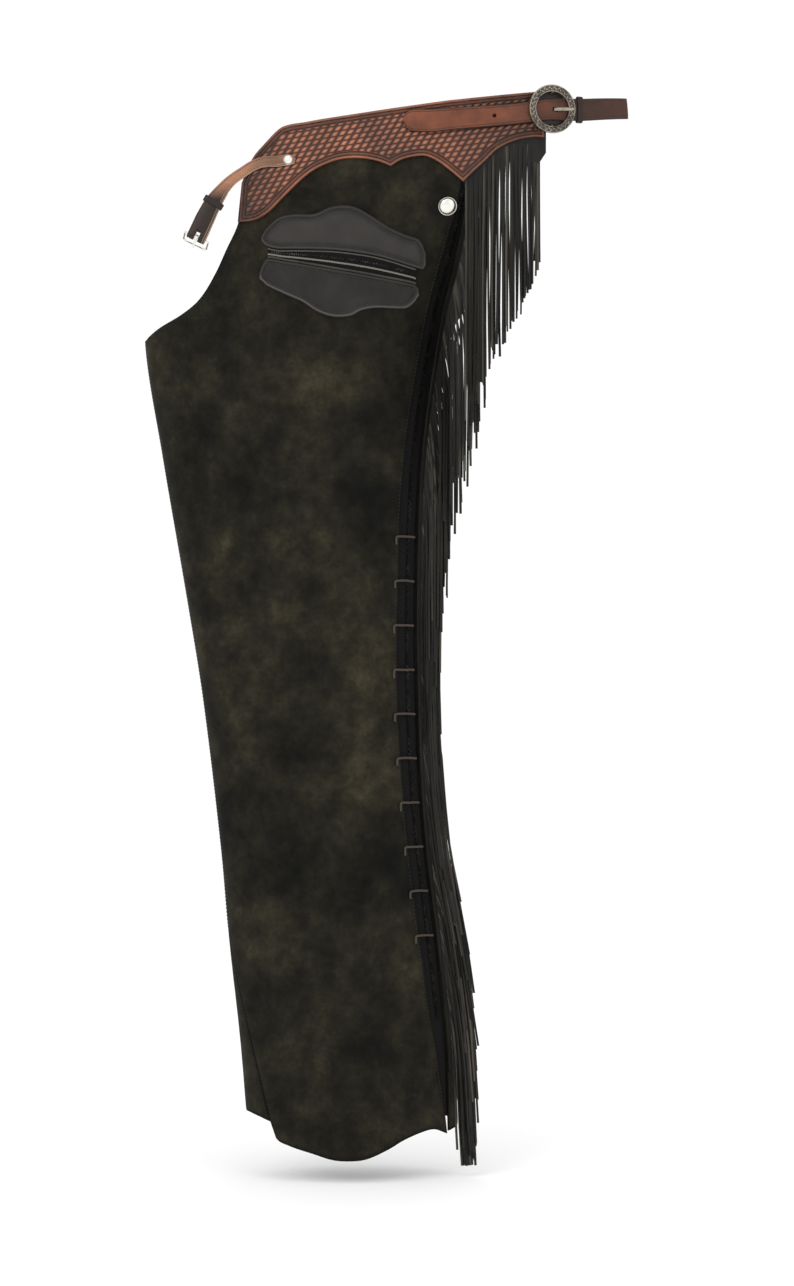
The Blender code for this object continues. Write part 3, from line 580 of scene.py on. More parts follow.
def band(shape, middles, across, out, half_widths, thick, groove=0.0, crown=0.0, left=1.0):
    """Adds a strap of rounded section along a path, the finish of its left edge fainter by a share."""
    loops = []
    marks = []
    for middle, side, up, half in zip(middles, across, out, half_widths):
        section = strap_section(half, thick, groove, crown)
        loops.append([middle + side * w + up * h for w, h in section])
        marks.append([m * (1 if w > 0 else left) for m, (w, h) in zip(burnish(section, half, thick), section)])
    shape.loft(loops, np.array(marks))


def stitches(shape, path, out, pitch=3.4, length=2.5, wide=0.55, sink=0.15):
    """Adds a row of thread stitches along a path of points."""
    path = np.asarray(path, float)
    steps = np.linalg.norm(np.diff(path, axis=0), axis=1)
    total = np.concatenate([[0], np.cumsum(steps)])
    at = np.arange(pitch, total[-1] - pitch, pitch)
    outs = np.asarray(out, float)
    for s in at:
        a = np.array([np.interp(s - length / 2, total, path[:, k]) for k in range(3)])
        b = np.array([np.interp(s + length / 2, total, path[:, k]) for k in range(3)])
        up = unit(np.array([np.interp(s, total, outs[:, k]) for k in range(3)]))
        along = unit(b - a)
        side = np.cross(up, along)
        loops = []
        for share, fat, high in ((0, 0.45, -sink), (0.25, 1, 0.25), (0.75, 1, 0.25), (1, 0.45, -sink)):
            centre = a + (b - a) * share + up * high * wide
            ring = ((1, 0), (0, 1), (-1, 0), (0, -1))
            loops.append([centre + side * x * wide * fat / 2 + up * y * wide * fat / 2 for x, y in ring])
        shape.loft(loops)


def deselect():
    """Leaves nothing selected."""
    if bpy.context.mode != "OBJECT":
        bpy.ops.object.mode_set(mode="OBJECT")
    bpy.ops.object.select_all(action="DESELECT")


def set_in_place(piece, centre, side, up, out):
    """Carries a piece made round the world's origin, face along +Z, to its place, and applies it."""
    turn = Matrix((side, up, out)).transposed().to_4x4()
    piece.matrix_world = Matrix.Translation(Vector(centre) * MM) @ turn
    deselect()
    piece.select_set(True)
    bpy.context.view_layer.objects.active = piece
    bpy.ops.object.transform_apply(location=True, rotation=True, scale=True)


def apply_all(piece):
    """Applies every modifier of a piece."""
    deselect()
    piece.select_set(True)
    bpy.context.view_layer.objects.active = piece
    for modifier in list(piece.modifiers):
        bpy.ops.object.modifier_apply(modifier=modifier.name)


def cut_out(piece, cutters):
    """Cuts closed shapes out of a piece."""
    for cutter in cutters:
        cut = piece.modifiers.new("cut", "BOOLEAN")
        cut.operation = "DIFFERENCE"
        cut.solver = "EXACT"
        cut.object = cutter
    apply_all(piece)
    for cutter in cutters:
        bpy.data.objects.remove(cutter)


# Materials


def add_node(tree, kind, inputs=(), **settings):
    """Adds one shader node with its settings and the values of its inputs."""
    fresh = tree.nodes.new(kind)
    for key, value in settings.items():
        setattr(fresh, key, value)
    for key, value in dict(inputs).items():
        fresh.inputs[key].default_value = value
    return fresh


def new_look(name, rough, metal=0.0, constants=()):
    """A material and its tree, shader and object coordinates."""
    material = bpy.data.materials.new(name)
    material.use_nodes = True
    tree = material.node_tree
    shader = tree.nodes["Principled BSDF"]
    shader.inputs["Roughness"].default_value = rough
    shader.inputs["Metallic"].default_value = metal
    for key, value in dict(constants).items():
        shader.inputs[key].default_value = value
    place = add_node(tree, "ShaderNodeTexCoord")
    return material, tree, shader, place.outputs["Object"]


def noise(tree, place, scale, detail=4.0, rough=0.55, stretch=None):
    """A noise that reads the object's coordinates."""
    if stretch:
        mapping = add_node(tree, "ShaderNodeMapping", {"Scale": stretch})
        tree.links.new(place, mapping.inputs["Vector"])
        place = mapping.outputs["Vector"]
    fresh = add_node(tree, "ShaderNodeTexNoise", {"Scale": scale, "Detail": detail, "Roughness": rough})
    tree.links.new(place, fresh.inputs["Vector"])
    return fresh.outputs["Fac"]


def ramp(tree, value, stops):
    """Colours or greys along a value."""
    fresh = add_node(tree, "ShaderNodeValToRGB")
    band_of = fresh.color_ramp
    while len(band_of.elements) < len(stops):
        band_of.elements.new(0.5)
    for element, (at, colour) in zip(band_of.elements, stops):
        element.position = at
        shade = colour if hasattr(colour, "__len__") else (colour, colour, colour)
        element.color = (*shade, 1)
    tree.links.new(value, fresh.inputs["Fac"])
    return fresh.outputs["Color"]


def blend(tree, factor, a, b, mode="MIX"):
    """Mixes two colours, each a socket or three numbers, by a factor."""
    fresh = add_node(tree, "ShaderNodeMix", data_type="RGBA", blend_type=mode)
    for key, value in ((0, factor), (6, a), (7, b)):
        if hasattr(value, "is_output"):
            tree.links.new(value, fresh.inputs[key])
        elif hasattr(value, "__len__"):
            fresh.inputs[key].default_value = (*value, 1)
        else:
            fresh.inputs[key].default_value = value
    return fresh.outputs[2]


def rough_from(tree, shader, value, low, high):
    """Makes the roughness follow a value."""
    fresh = add_node(tree, "ShaderNodeMapRange", {"To Min": low, "To Max": high})
    tree.links.new(value, fresh.inputs["Value"])
    tree.links.new(fresh.outputs["Result"], shader.inputs["Roughness"])


def bumps(tree, shader, *layers):
    """Chains bump layers: each is a height, its strength and its depth in metres."""
    normal = None
    for height, strength, distance in layers:
        fresh = add_node(tree, "ShaderNodeBump", {"Strength": strength, "Distance": distance})
        tree.links.new(height, fresh.inputs["Height"])
        if normal:
            tree.links.new(normal, fresh.inputs["Normal"])
        normal = fresh.outputs["Normal"]
    tree.links.new(normal, shader.inputs["Normal"])


def mark_of(tree):
    """The number stored at each point of the piece."""
    return add_node(tree, "ShaderNodeAttribute", attribute_name="mark").outputs["Fac"]


def pebbles(tree, place, scale):
    """The pebbled grain of leather."""
    fresh = add_node(tree, "ShaderNodeTexVoronoi", {"Scale": scale, "Randomness": 1.0}, feature="SMOOTH_F1")
    tree.links.new(place, fresh.inputs["Vector"])
    return fresh.outputs["Distance"]


def suede_look(name, colours):
    """Waxed suede, mottled from black to olive, with scuffs."""
    material, tree, shader, place = new_look(name, 0.72, constants={"Specular IOR Level": 0.1})
    dark = tuple(colours.suede_dark)
    olive = tuple(colours.suede_olive)
    pale = tuple(colours.suede_pale)
    wide = ramp(tree, noise(tree, place, 6.5, 5, 0.6), ((0.36, dark), (0.52, olive), (0.68, pale)))
    cloud = ramp(tree, noise(tree, place, 19, 6, 0.62, (1, 1, 0.7)), ((0.38, dark), (0.56, olive), (0.72, pale)))
    mixed = blend(tree, 0.5, wide, cloud)
    brightness_shift = ramp(tree, noise(tree, place, 52, 6, 0.68), ((0.36, 0.5), (0.66, 1.5)))
    mixed = blend(tree, 0.6, mixed, brightness_shift, "MULTIPLY")
    nap = noise(tree, place, 260, 4, 0.7)
    mixed = blend(tree, 0.55, mixed, ramp(tree, nap, ((0.3, 0.55), (0.7, 1.45))), "MULTIPLY")
    scuff = ramp(tree, noise(tree, place, 34, 7, 0.7, (0.6, 1, 1.7)), ((0.64, 0.0), (0.74, 1.0)))
    mixed = blend(tree, scuff, mixed, blend(tree, 0.5, mixed, pale))
    mark_blend = blend(tree, mark_of(tree), mixed, tuple(0.45 * c for c in dark))
    tree.links.new(mark_blend, shader.inputs["Base Color"])
    rough_from(tree, shader, nap, 0.6, 0.86)
    bumps(tree, shader, (noise(tree, place, 60, 6, 0.6), 0.35, 0.002), (nap, 0.4, 0.0006))
    return material


def tooled_look(name, colours):
    """Carved saddle leather, with dark antique in its cuts and burnished edges, painted highlight on its stamp tops and
    lip, and painted shade towards its front corner and back end.
    """
    constants = {"Coat Weight": 0.12, "Coat Roughness": 0.4, "Specular IOR Level": 0.3}
    material, tree, shader, place = new_look(name, 0.45, constants=constants)
    brown = tuple(colours.yoke_brown)
    rubbed_tops_and_highlight = tuple(colours.yoke_rubbed_and_highlight)
    antique = tuple(colours.antique)
    # The stamp tops and the raised lip take the pale colour: partly rubbed leather, partly a painted highlight where
    # they catch the light.
    ground = ramp(tree, mark_of(tree), ((0.0, rubbed_tops_and_highlight), (0.5, brown), (0.95, antique)))
    cloud = ramp(tree, noise(tree, place, 24, 5, 0.6), ((0.34, 0.55), (0.66, 1.25)))
    ground = blend(tree, 0.8, ground, cloud, "MULTIPLY")
    ground = blend(tree, 0.4, ground, ramp(tree, noise(tree, place, 300, 3), ((0.3, 0.6), (0.7, 1.3))), "MULTIPLY")
    apart = add_node(tree, "ShaderNodeSeparateXYZ")
    tree.links.new(place, apart.inputs["Vector"])
    # Painted shade: the yoke is painted darker towards its front corner, in the front strap's shadow, and towards its
    # back end by the belt, where it lies in shade.
    for start, end, first, last in ((-0.16, -0.095, 0.3, 1.08), (0.05, 0.11, 1.0, 0.5)):
        painted_shade_range = {"From Min": start, "From Max": end, "To Min": first, "To Max": last}
        fade = add_node(tree, "ShaderNodeMapRange", painted_shade_range)
        tree.links.new(apart.outputs["X"], fade.inputs["Value"])
        ground = blend(tree, 1.0, ground, fade.outputs["Result"], "MULTIPLY")
    tree.links.new(ground, shader.inputs["Base Color"])
    grain = pebbles(tree, place, 1400)
    rough_from(tree, shader, noise(tree, place, 90, 4), 0.36, 0.58)
    bumps(tree, shader, (noise(tree, place, 160, 4), 0.25, 0.0008), (grain, 0.3, 0.0003))
    return material


def strap_look(name, brown, edge, way, start, end, darkest):
    """Smooth strap leather with coloured edges, darker along one way of the piece from start to end."""
    constants = {"Coat Weight": 0.12, "Coat Roughness": 0.35, "Specular IOR Level": 0.3}
    material, tree, shader, place = new_look(name, 0.42, constants=constants)
    light = tuple(1.45 * c for c in brown)
    ground = ramp(tree, noise(tree, place, 30, 5, 0.6), ((0.33, tuple(0.6 * c for c in brown)), (0.52, brown), (0.74, light)))
    streaks = ramp(tree, noise(tree, place, 120, 5, 0.6, (0.25, 1, 1.2)), ((0.3, 0.7), (0.7, 1.3)))
    ground = blend(tree, 0.5, ground, streaks, "MULTIPLY")
    apart = add_node(tree, "ShaderNodeSeparateXYZ")
    tree.links.new(place, apart.inputs["Vector"])
    # Darkening along one way: on the front strap this is a painted shade on its lower part; on the belt it darkens the
    # part beyond the buckle.
    fade = add_node(tree, "ShaderNodeMapRange", {"From Min": start, "From Max": end, "To Min": 1.0, "To Max": darkest})
    tree.links.new(apart.outputs[way], fade.inputs["Value"])
    ground = blend(tree, 1.0, ground, fade.outputs["Result"], "MULTIPLY")
    tree.links.new(blend(tree, mark_of(tree), ground, edge), shader.inputs["Base Color"])
    rough_from(tree, shader, noise(tree, place, 70, 4), 0.36, 0.6)
    bumps(tree, shader, (noise(tree, place, 220, 4), 0.2, 0.0006), (pebbles(tree, place, 1500), 0.25, 0.00025))
    return material


def smooth_look(name, colour, rough):
    """Black smooth leather with a fine pebbled grain."""
    constants = {"Coat Weight": 0.03, "Coat Roughness": 0.4, "Specular IOR Level": 0.24}
    material, tree, shader, place = new_look(name, rough, constants=constants)
    light = tuple(2.2 * c for c in colour)
    ground = ramp(tree, noise(tree, place, 40, 5, 0.6), ((0.35, colour), (0.7, light)))
    # The mark lightens the leather: pale piping round the patches, and painted light on the upper patch's face and on
    # the upper welt.
    mark_blend = blend(tree, mark_of(tree), ground, tuple(min(1, 9 * c) for c in colour))
    tree.links.new(mark_blend, shader.inputs["Base Color"])
    rough_from(tree, shader, noise(tree, place, 60, 4), rough - 0.08, rough + 0.16)
    grain = pebbles(tree, place, 620)
    bumps(tree, shader, (noise(tree, place, 75, 5), 0.4, 0.0012), (grain, 0.5, 0.0005))
    return material


def fringe_look(name, colours):
    """Cut leather strands, each a little different."""
    material, tree, shader, place = new_look(name, 0.55, constants={"Specular IOR Level": 0.22})
    dark = tuple(colours.fringe_dark)
    light = tuple(colours.fringe_light)
    each = ramp(tree, mark_of(tree), ((0.0, dark), (0.62, tuple(1.6 * c for c in dark)), (1.0, light)))
    along = ramp(tree, noise(tree, place, 40, 4, 0.6, (3, 3, 0.5)), ((0.3, 0.55), (0.7, 1.6)))
    tree.links.new(blend(tree, 0.7, each, along, "MULTIPLY"), shader.inputs["Base Color"])
    rough_from(tree, shader, noise(tree, place, 120, 3), 0.42, 0.7)
    bumps(tree, shader, (noise(tree, place, 260, 4, 0.6, (1, 1, 0.4)), 0.4, 0.0008))
    return material


def cloth_look(name, colour):
    """Woven zip tape."""
    material, tree, shader, place = new_look(name, 0.85, constants={"Specular IOR Level": 0.1})
    weave = add_node(tree, "ShaderNodeTexWave", {"Scale": 420.0, "Distortion": 0.6}, bands_direction="DIAGONAL")
    tree.links.new(place, weave.inputs["Vector"])
    shade = ramp(tree, weave.outputs["Fac"], ((0.2, colour), (0.8, tuple(2.6 * c for c in colour))))
    tree.links.new(shade, shader.inputs["Base Color"])
    bumps(tree, shader, (weave.outputs["Fac"], 0.5, 0.0004))
    return material


def metal_look(name, colour, tarnish, low, high, tarnished):
    """Silver-plated metal with tarnish in its hollows and fine scratches."""
    material, tree, shader, place = new_look(name, low, 1.0)
    cloud = noise(tree, place, 110, 6, 0.65)
    stain = ramp(tree, cloud, ((tarnished, tarnish), (min(1.0, tarnished + 0.2), colour)))
    tree.links.new(blend(tree, mark_of(tree), stain, tarnish), shader.inputs["Base Color"])
    scratch = noise(tree, place, 900, 4, 0.6, (0.3, 1, 1))
    rough_from(tree, shader, cloud, high, low)
    bumps(tree, shader, (cloud, 0.12, 0.0004), (scratch, 0.08, 0.0001))
    return material


def thread_look(name, colour):
    """Waxed thread."""
    material, tree, shader, place = new_look(name, 0.6)
    twist = add_node(tree, "ShaderNodeTexWave", {"Scale": 900.0}, bands_direction="DIAGONAL")
    tree.links.new(place, twist.inputs["Vector"])
    shade = ramp(tree, twist.outputs["Fac"], ((0.2, tuple(0.6 * c for c in colour)), (0.8, colour)))
    tree.links.new(shade, shader.inputs["Base Color"])
    return material


def stage_look(name, grey):
    """Plain pale paper."""
    glow = {"Emission Color": (1, 1, 1, 1), "Emission Strength": 0.1, "Specular IOR Level": 0.0}
    material, tree, shader, place = new_look(name, 0.95, constants=glow)
    shade = ramp(tree, noise(tree, place, 3, 2), ((0.3, grey), (0.7, min(1.0, grey + 0.01))))
    tree.links.new(shade, shader.inputs["Base Color"])
    return material


def finish_of(name, make, *values):
    """A material by name, made the first time it is asked for."""
    return bpy.data.materials.get(name) or make(name, *values)


# Pieces


def panel_grid(angles, tops, hems, rows, above=0):
    """Angles and heights of a panel's grid, one column for each angle function."""
    shares = np.linspace(0, 1, rows)
    heights = tops[None, :] + (hems - tops)[None, :] * shares[:, None]
    return angles(heights), heights


def leg_front(sizes, colours):
    """The front panel, fine enough for its creases."""
    columns = sizes.panel_columns
    shares = np.linspace(0, 1, columns + 1)

    def angle(share, z):
        start = np.where(z > CROTCH, angle_at(crotch_edge(z), z), inner_seam(z))
        end = angle_at(zip_front(z), z)
        gap = math.degrees(SEAM_GAP / 60)
        return start + gap + (end - start - gap) * share

    def meet(edge, low, high):
        low = np.full(columns + 1, float(low))
        high = np.full(columns + 1, float(high))
        for _ in range(24):
            z = (low + high) / 2
            over = z > edge(bare(angle(shares, z), z)[..., 0])
            high = np.where(over, z, high)
            low = np.where(over, low, z)
        return (low + high) / 2

    tops = meet(front_top, -120, 0)
    hems = meet(front_hem, -1040, -960)
    hems[0] = FRONT_HEM[0][1]
    upper = np.linspace(0, 1, 44)[:-1]
    lower = np.linspace(0, 1, sizes.panel_rows)
    heights = np.concatenate(
        [
            tops[None, :] + (CROTCH - tops)[None, :] * upper[:, None],
            CROTCH + (hems - CROTCH)[None, :] * lower[:, None],
        ]
    )
    angles = angle(shares[None, :], heights)
    rate = (right_side(heights) - left_side(heights)) / 2 * math.pi / 180
    side = np.minimum(angles - angles[:, :1], angles[:, -1:] - angles) * rate
    hem = heights - heights[-1:]
    edge = np.minimum(side, hem)
    roll = 0.35 * np.exp(-(((edge - 3.2) / 1.2) ** 2))
    outer = skin(angles, heights, -0.25 * np.exp(-edge / 0.8) - roll + 0.1)
    inner = skin(angles, heights, -SUEDE)
    mark = 0.75 * np.exp(-((edge / 1.6) ** 2)) + 0.5 * np.exp(-(((edge - 3.2) / 0.9) ** 2))
    shape = Shape()
    shape.sheet(outer, inner, np.clip(mark, 0, 1))
    piece = settle(shape.make("leg_front_suede", finish_of("waxed_suede", suede_look, colours)), "suede", "leg_front")

    thread = Shape()
    for column, shift in ((0, 3.2), (-1, -3.2)):
        rows = slice(0, None) if column == -1 else slice(4, None)
        z = heights[rows, column]
        a = angles[rows, column] + shift / rate[rows, column]
        stitches(thread, skin(a, z, -0.2), outward(a, z), pitch=3.8)
    stitch = thread.make("leg_front_stitching", finish_of("dark_thread", thread_look, colours.dark_thread))
    settle(stitch, "suede")


def leg_back(sizes, colours):
    """The back panel, from the side zip round behind the leg to the inner seam."""
    columns = sizes.panel_columns
    shares = np.linspace(0, 1, columns + 1) ** 1.15
    down = np.linspace(0, 1, sizes.panel_rows + 20) ** 1.05
    tops = back_top(shares)
    hems = back_hem(shares)
    heights = tops[None, :] + (hems - tops)[None, :] * down[:, None]
    start = angle_at(zip_back(heights), heights)
    angles = start + (360 + inner_seam(heights) - start) * shares[None, :]
    rate = (right_side(heights) - left_side(heights)) / 2 * math.pi / 180
    side = np.minimum(angles - angles[:, :1], angles[:, -1:] - angles) * rate
    edge = np.minimum(np.minimum(side, heights - heights[-1:]), heights[:1] - heights)
    outer = skin(angles, heights, -0.25 * np.exp(-edge / 0.8))
    inner = skin(angles, heights, -SUEDE)
    mark = 0.75 * np.exp(-((edge / 1.6) ** 2)) + 0.4 * np.exp(-(((edge - 3.2) / 0.9) ** 2))
    shape = Shape()
    shape.sheet(outer, inner, np.clip(mark, 0, 1))
    piece = settle(shape.make("leg_back_suede", finish_of("waxed_suede", suede_look, colours)), "suede", "leg_back")

    thread = Shape()
    for column, shift in ((0, 3.2), (-1, -3.2)):
        z = heights[:, column]
        a = angles[:, column] + shift / rate[:, column]
        stitches(thread, skin(a, z, 0.0), outward(a, z), pitch=3.8)
    row = 1
    z = heights[row] - 3.2
    stitches(thread, skin(angles[row], z, 0.0), outward(angles[row], z), pitch=3.8)
    stitch = thread.make("leg_back_stitching", finish_of("dark_thread", thread_look, colours.dark_thread))
    settle(stitch, "suede")


def yoke_edges(count):
    """The yoke's top and lower edges, as evenly spaced points across and up."""
    numbered = [(i, *row) for i, row in enumerate(YOKE_RUNGS)]
    dense = np.linspace(0, len(YOKE_RUNGS) - 1, 1600)
    top = np.stack([run(numbered, 1)(dense), run(numbered, 2)(dense)], -1)
    low = np.zeros_like(top)
    for first, last in zip(YOKE_CUSPS, YOKE_CUSPS[1:]):
        part = numbered[first : last + 1]
        here = (dense >= first) & (dense <= last)
        low[here] = np.stack([run(part, 3)(dense[here]), run(part, 4)(dense[here])], -1)
    middle = (top + low) / 2
    length = np.concatenate([[0], np.cumsum(np.linalg.norm(np.diff(middle, axis=0), axis=1))])
    even = np.linspace(0, length[-1], count)
    tops = np.stack([np.interp(even, length, top[:, k]) for k in range(2)], -1)
    lows = np.stack([np.interp(even, length, low[:, k]) for k in range(2)], -1)
    return tops, lows


def distance_to(points, line):
    """The distance from each point to a polyline, both across and up."""
    a = line[:-1]
    d = line[1:] - a
    size = np.maximum((d**2).sum(-1), 1e-9)
    best = np.full(points.shape[:-1], 1e9)
    for start, way, square in zip(a, d, size):
        off = points - start
        t = np.clip((off @ way) / square, 0, 1)
        best = np.minimum(best, np.linalg.norm(off - t[..., None] * way, axis=-1))
    return best


def basket_weave(x, z, sizes):
    """Height and depth of cut of the stamped basket weave at places on the yoke."""
    slope = math.radians(sizes.weave_slope)
    s = (x * math.cos(slope) + z * math.sin(slope)) / sizes.weave_length
    t = (z * math.cos(slope) - x * math.sin(slope)) / sizes.weave_height
    row = np.floor(t)
    across = t - row - 0.5
    shifted = s + 0.5 * np.mod(row, 2)
    shifted = shifted - sizes.weave_lean * across
    along = shifted - np.floor(shifted) - 0.5
    leaf = np.clip(1 - (np.abs(across) / 0.46) ** 3, 0, 1) * np.clip(1 - (np.abs(along) / 0.4) ** 4, 0, 1)
    ribs = 0.1 * np.cos(across * 6 * math.pi) * leaf
    height = leaf * (0.8 + 0.2 * np.cos(along * 2 * math.pi)) + ribs
    bar = 0.45 * np.clip(1 - ((np.abs(along) - 0.5) / 0.06) ** 2, 0, 1) * (np.abs(across) < 0.3)
    return np.maximum(height, bar), np.clip(0.86 - 0.86 * height, 0, 1)


def yoke(sizes, colours):
    """The tooled yoke: basket weave inside a border of two carved lines."""
    tops, lows = yoke_edges(sizes.yoke_columns)
    shares = np.linspace(0, 1, sizes.yoke_rows)
    places = tops[None] + (lows - tops)[None] * shares[:, None, None]
    outline = np.concatenate([tops, lows[::-1], tops[:1]])
    edge = distance_to(places, outline[::2])
    x = places[..., 0]
    z = places[..., 1]
    weave, cut = basket_weave(x, z, sizes)
    field = smooth_step(edge, sizes.border + 0.2, sizes.border + 1.1)
    outer_line = np.exp(-(((edge - 3.0) / 0.5) ** 2))
    inner_line = np.exp(-(((edge - (sizes.border - 0.5)) / 0.7) ** 2))
    lip = np.exp(-(((edge - 1.3) / 1.0) ** 2))
    height = 0.35 * lip - 0.6 * np.exp(-((edge / 0.5) ** 2)) - 0.7 * outer_line - 0.9 * inner_line
    height = height * (1 - field) + field * (sizes.weave_depth * weave - sizes.weave_depth - 0.1)
    # Painted highlight: the raised lip is painted paler. The carved lines hold dark antique.
    mark = 0.5 - 0.24 * lip + 0.6 * outer_line + 0.5 * inner_line
    mark = mark * (1 - field) + field * cut
    outer = front(x, z, LAY_GAP + YOKE_LEATHER + height)
    inner = front(x, z, LAY_GAP)
    shape = Shape()
    shape.sheet(outer, inner, np.clip(mark, 0, 1), lining=0.6)
    piece = shape.make("yoke_tooled", finish_of("carved_hide", tooled_look, colours), sharp=70)
    settle(piece, "tooled_leather", "yoke")

    thread = Shape()
    for line in (tops, lows):
        keep = line
        path = front(keep[:, 0], keep[:, 1], LAY_GAP + YOKE_LEATHER)
        if line is lows:
            way = np.array((0, 0, 1.0))
        else:
            way = np.array((0, 0, -1.0))
        path = path + way * 3.6
        angles = angle_at(keep[:, 0], keep[:, 1])
        stitches(thread, path[6:-6], outward(angles, keep[:, 1])[6:-6], pitch=3.0, length=2.1, wide=0.5)
    settle(thread.make("yoke_stitching", finish_of("brown_thread", thread_look, colours.brown_thread)), "tooled_leather")


def patch(name, table, sizes, colours):
    """A cut pocket patch with a rolled edge and a row of stitches; the upper patch's face carries painted light."""
    first = table[0][0]
    last = table[-1][0]
    x = first + (last - first) * (0.5 - 0.5 * np.cos(np.linspace(0, math.pi, 150)))
    top = run(table, 1)(x)
    low = run(table, 2)(x)
    shares = 0.5 - 0.5 * np.cos(np.linspace(0, math.pi, 46))
    z = top[None] + (low - top)[None] * shares[:, None]
    x = np.broadcast_to(x, z.shape)
    outline = np.concatenate([np.stack([x[0], top], -1), np.stack([x[0], low], -1)[::-1], [(x[0][0], top[0])]])
    edge = distance_to(np.stack([x, z], -1), outline[::2])
    roll = np.exp(-(((edge - 1.9) / 1.5) ** 2))
    seam = np.exp(-(((edge - 4.6) / 0.8) ** 2))
    puff = 0.4 * smooth_step(edge, 5, 16)
    uneven = ripple(x + 1.7 * z, (0.2, 0.11, 0), (0.16, 0.043, 1))
    height = 1.1 * roll - 0.5 * seam + puff - 0.6 * np.exp(-((edge / 0.5) ** 2)) + uneven
    down = (top[None] - z) / (top - low)[None]
    piping = 0.25 + (0.75 if name == "pocket_lower" else 0.2) * smooth_step(down, 0.5, 0.65)
    # Painted light: the upper patch's face, away from its edge, is painted lighter where it faces up into the light;
    # the lower patch only a little.
    brightness_shift = (0.24 if name == "pocket_upper" else 0.02) * smooth_step(edge, 3, 10)
    mark = np.clip(piping * np.exp(-(((edge - 1.7) / 0.9) ** 2)) + brightness_shift, 0, 1)
    shape = Shape()
    shape.sheet(front(x, z, LAY_GAP + PATCH_LEATHER + height), front(x, z, LAY_GAP), mark)
    leather = finish_of("pocket_hide", smooth_look, tuple(colours.smooth_black), 0.5)
    settle(shape.make(name + "_leather", leather), "smooth_leather", name)

    thread = Shape()
    inset = 4.6
    for run_low in (False, True):
        line = low if run_low else top
        xs = x[0]
        keep = (low - top) * -1 > 2 * inset + 2
        xs = xs[keep]
        zs = line[keep] + (inset if run_low else -inset)
        angles = angle_at(xs, zs)
        stitches(thread, front(xs, zs, LAY_GAP + PATCH_LEATHER - 0.2), outward(angles, zs), pitch=3.0, length=2.0, wide=0.5)
    settle(thread.make(name + "_stitching", finish_of("grey_thread", thread_look, colours.grey_thread)), "smooth_leather")


def pocket_patches(sizes, colours):
    """The pocket's upper and lower patches."""
    patch("pocket_upper", POCKET_UPPER, sizes, colours)
    patch("pocket_lower", POCKET_LOWER, sizes, colours)


def pocket_zip(sizes, colours):
    """The closed zip between the pocket's patches, and the welt along each side of it."""
    upper = run(POCKET_UPPER, 2)
    lower = run(POCKET_LOWER, 1)
    x = np.linspace(WELT_FROM, WELT_TO, 120)
    high = upper(x) - 0.5
    low = lower(x) + 0.5
    shares = np.linspace(0, 1, 12)
    z = high[None] + (low - high)[None] * shares[:, None]
    grid_x = np.broadcast_to(x, z.shape)
    tape = Shape()
    tape.sheet(front(grid_x, z, LAY_GAP + 1.0), front(grid_x, z, LAY_GAP))
    settle(tape.make("pocket_zip_tape", finish_of("woven_tape", cloth_look, tuple(colours.tape_black))), "zip_tape", "pocket_welt")

    welts = Shape()
    line = high + (low - high) * 0.64
    # The upper welt's pale share (0.12) is a painted highlight along the rolled edge under the upper patch; the middle
    # welt is a pale line and the lower welt plain.
    for edge, inset, radius, pale in ((high, -1.0, 0.8, 0.12), (line, 0, 0.95, 0.6), (low, 0.6, 1.2, 0.0)):
        middles = front(x, edge + inset, LAY_GAP + 1.3)
        out = outward(angle_at(x, edge + inset), edge + inset)
        along = unit(np.gradient(middles, axis=0))
        side = np.cross(out, along)
        loops = []
        for point, a, b in zip(middles, side, out):
            loops.append([point + (a * math.cos(t) + b * math.sin(t)) * radius for t in np.linspace(0, 2 * math.pi, 9)[:-1]])
        welts.loft(loops, pale)
    leather = finish_of("welt_hide", smooth_look, tuple(colours.welt), 0.34)
    settle(welts.make("pocket_welts", leather), "smooth_leather")

    teeth = Shape()
    count = int((WELT_TO - WELT_FROM - 8) / 2.2)
    for number in range(count):
        at = WELT_FROM + 4 + 2.2 * number
        middle = upper(at) + (lower(at) - upper(at)) * 0.38 + (0.3 if number % 2 else -0.3)
        side, up, out = place_frame(at, middle)
        centre = front(at, middle, LAY_GAP + 1.5)
        loops = []
        for share, fat in ((-1, 0.8), (-0.6, 1), (0.6, 1), (1, 0.8)):
            ring = ((1, 1), (-1, 1), (-1, -1), (1, -1))
            loops.append([centre + up * share * 0.95 + side * a * 0.55 * fat + out * b * 0.5 * fat for a, b in ring])
        teeth.loft(loops)
    settle(teeth.make("pocket_zip_teeth", finish_of("dark_metal", metal_look, (0.09, 0.085, 0.08), (0.02, 0.018, 0.016), 0.4, 0.6, 0.45)), "antique_silver")


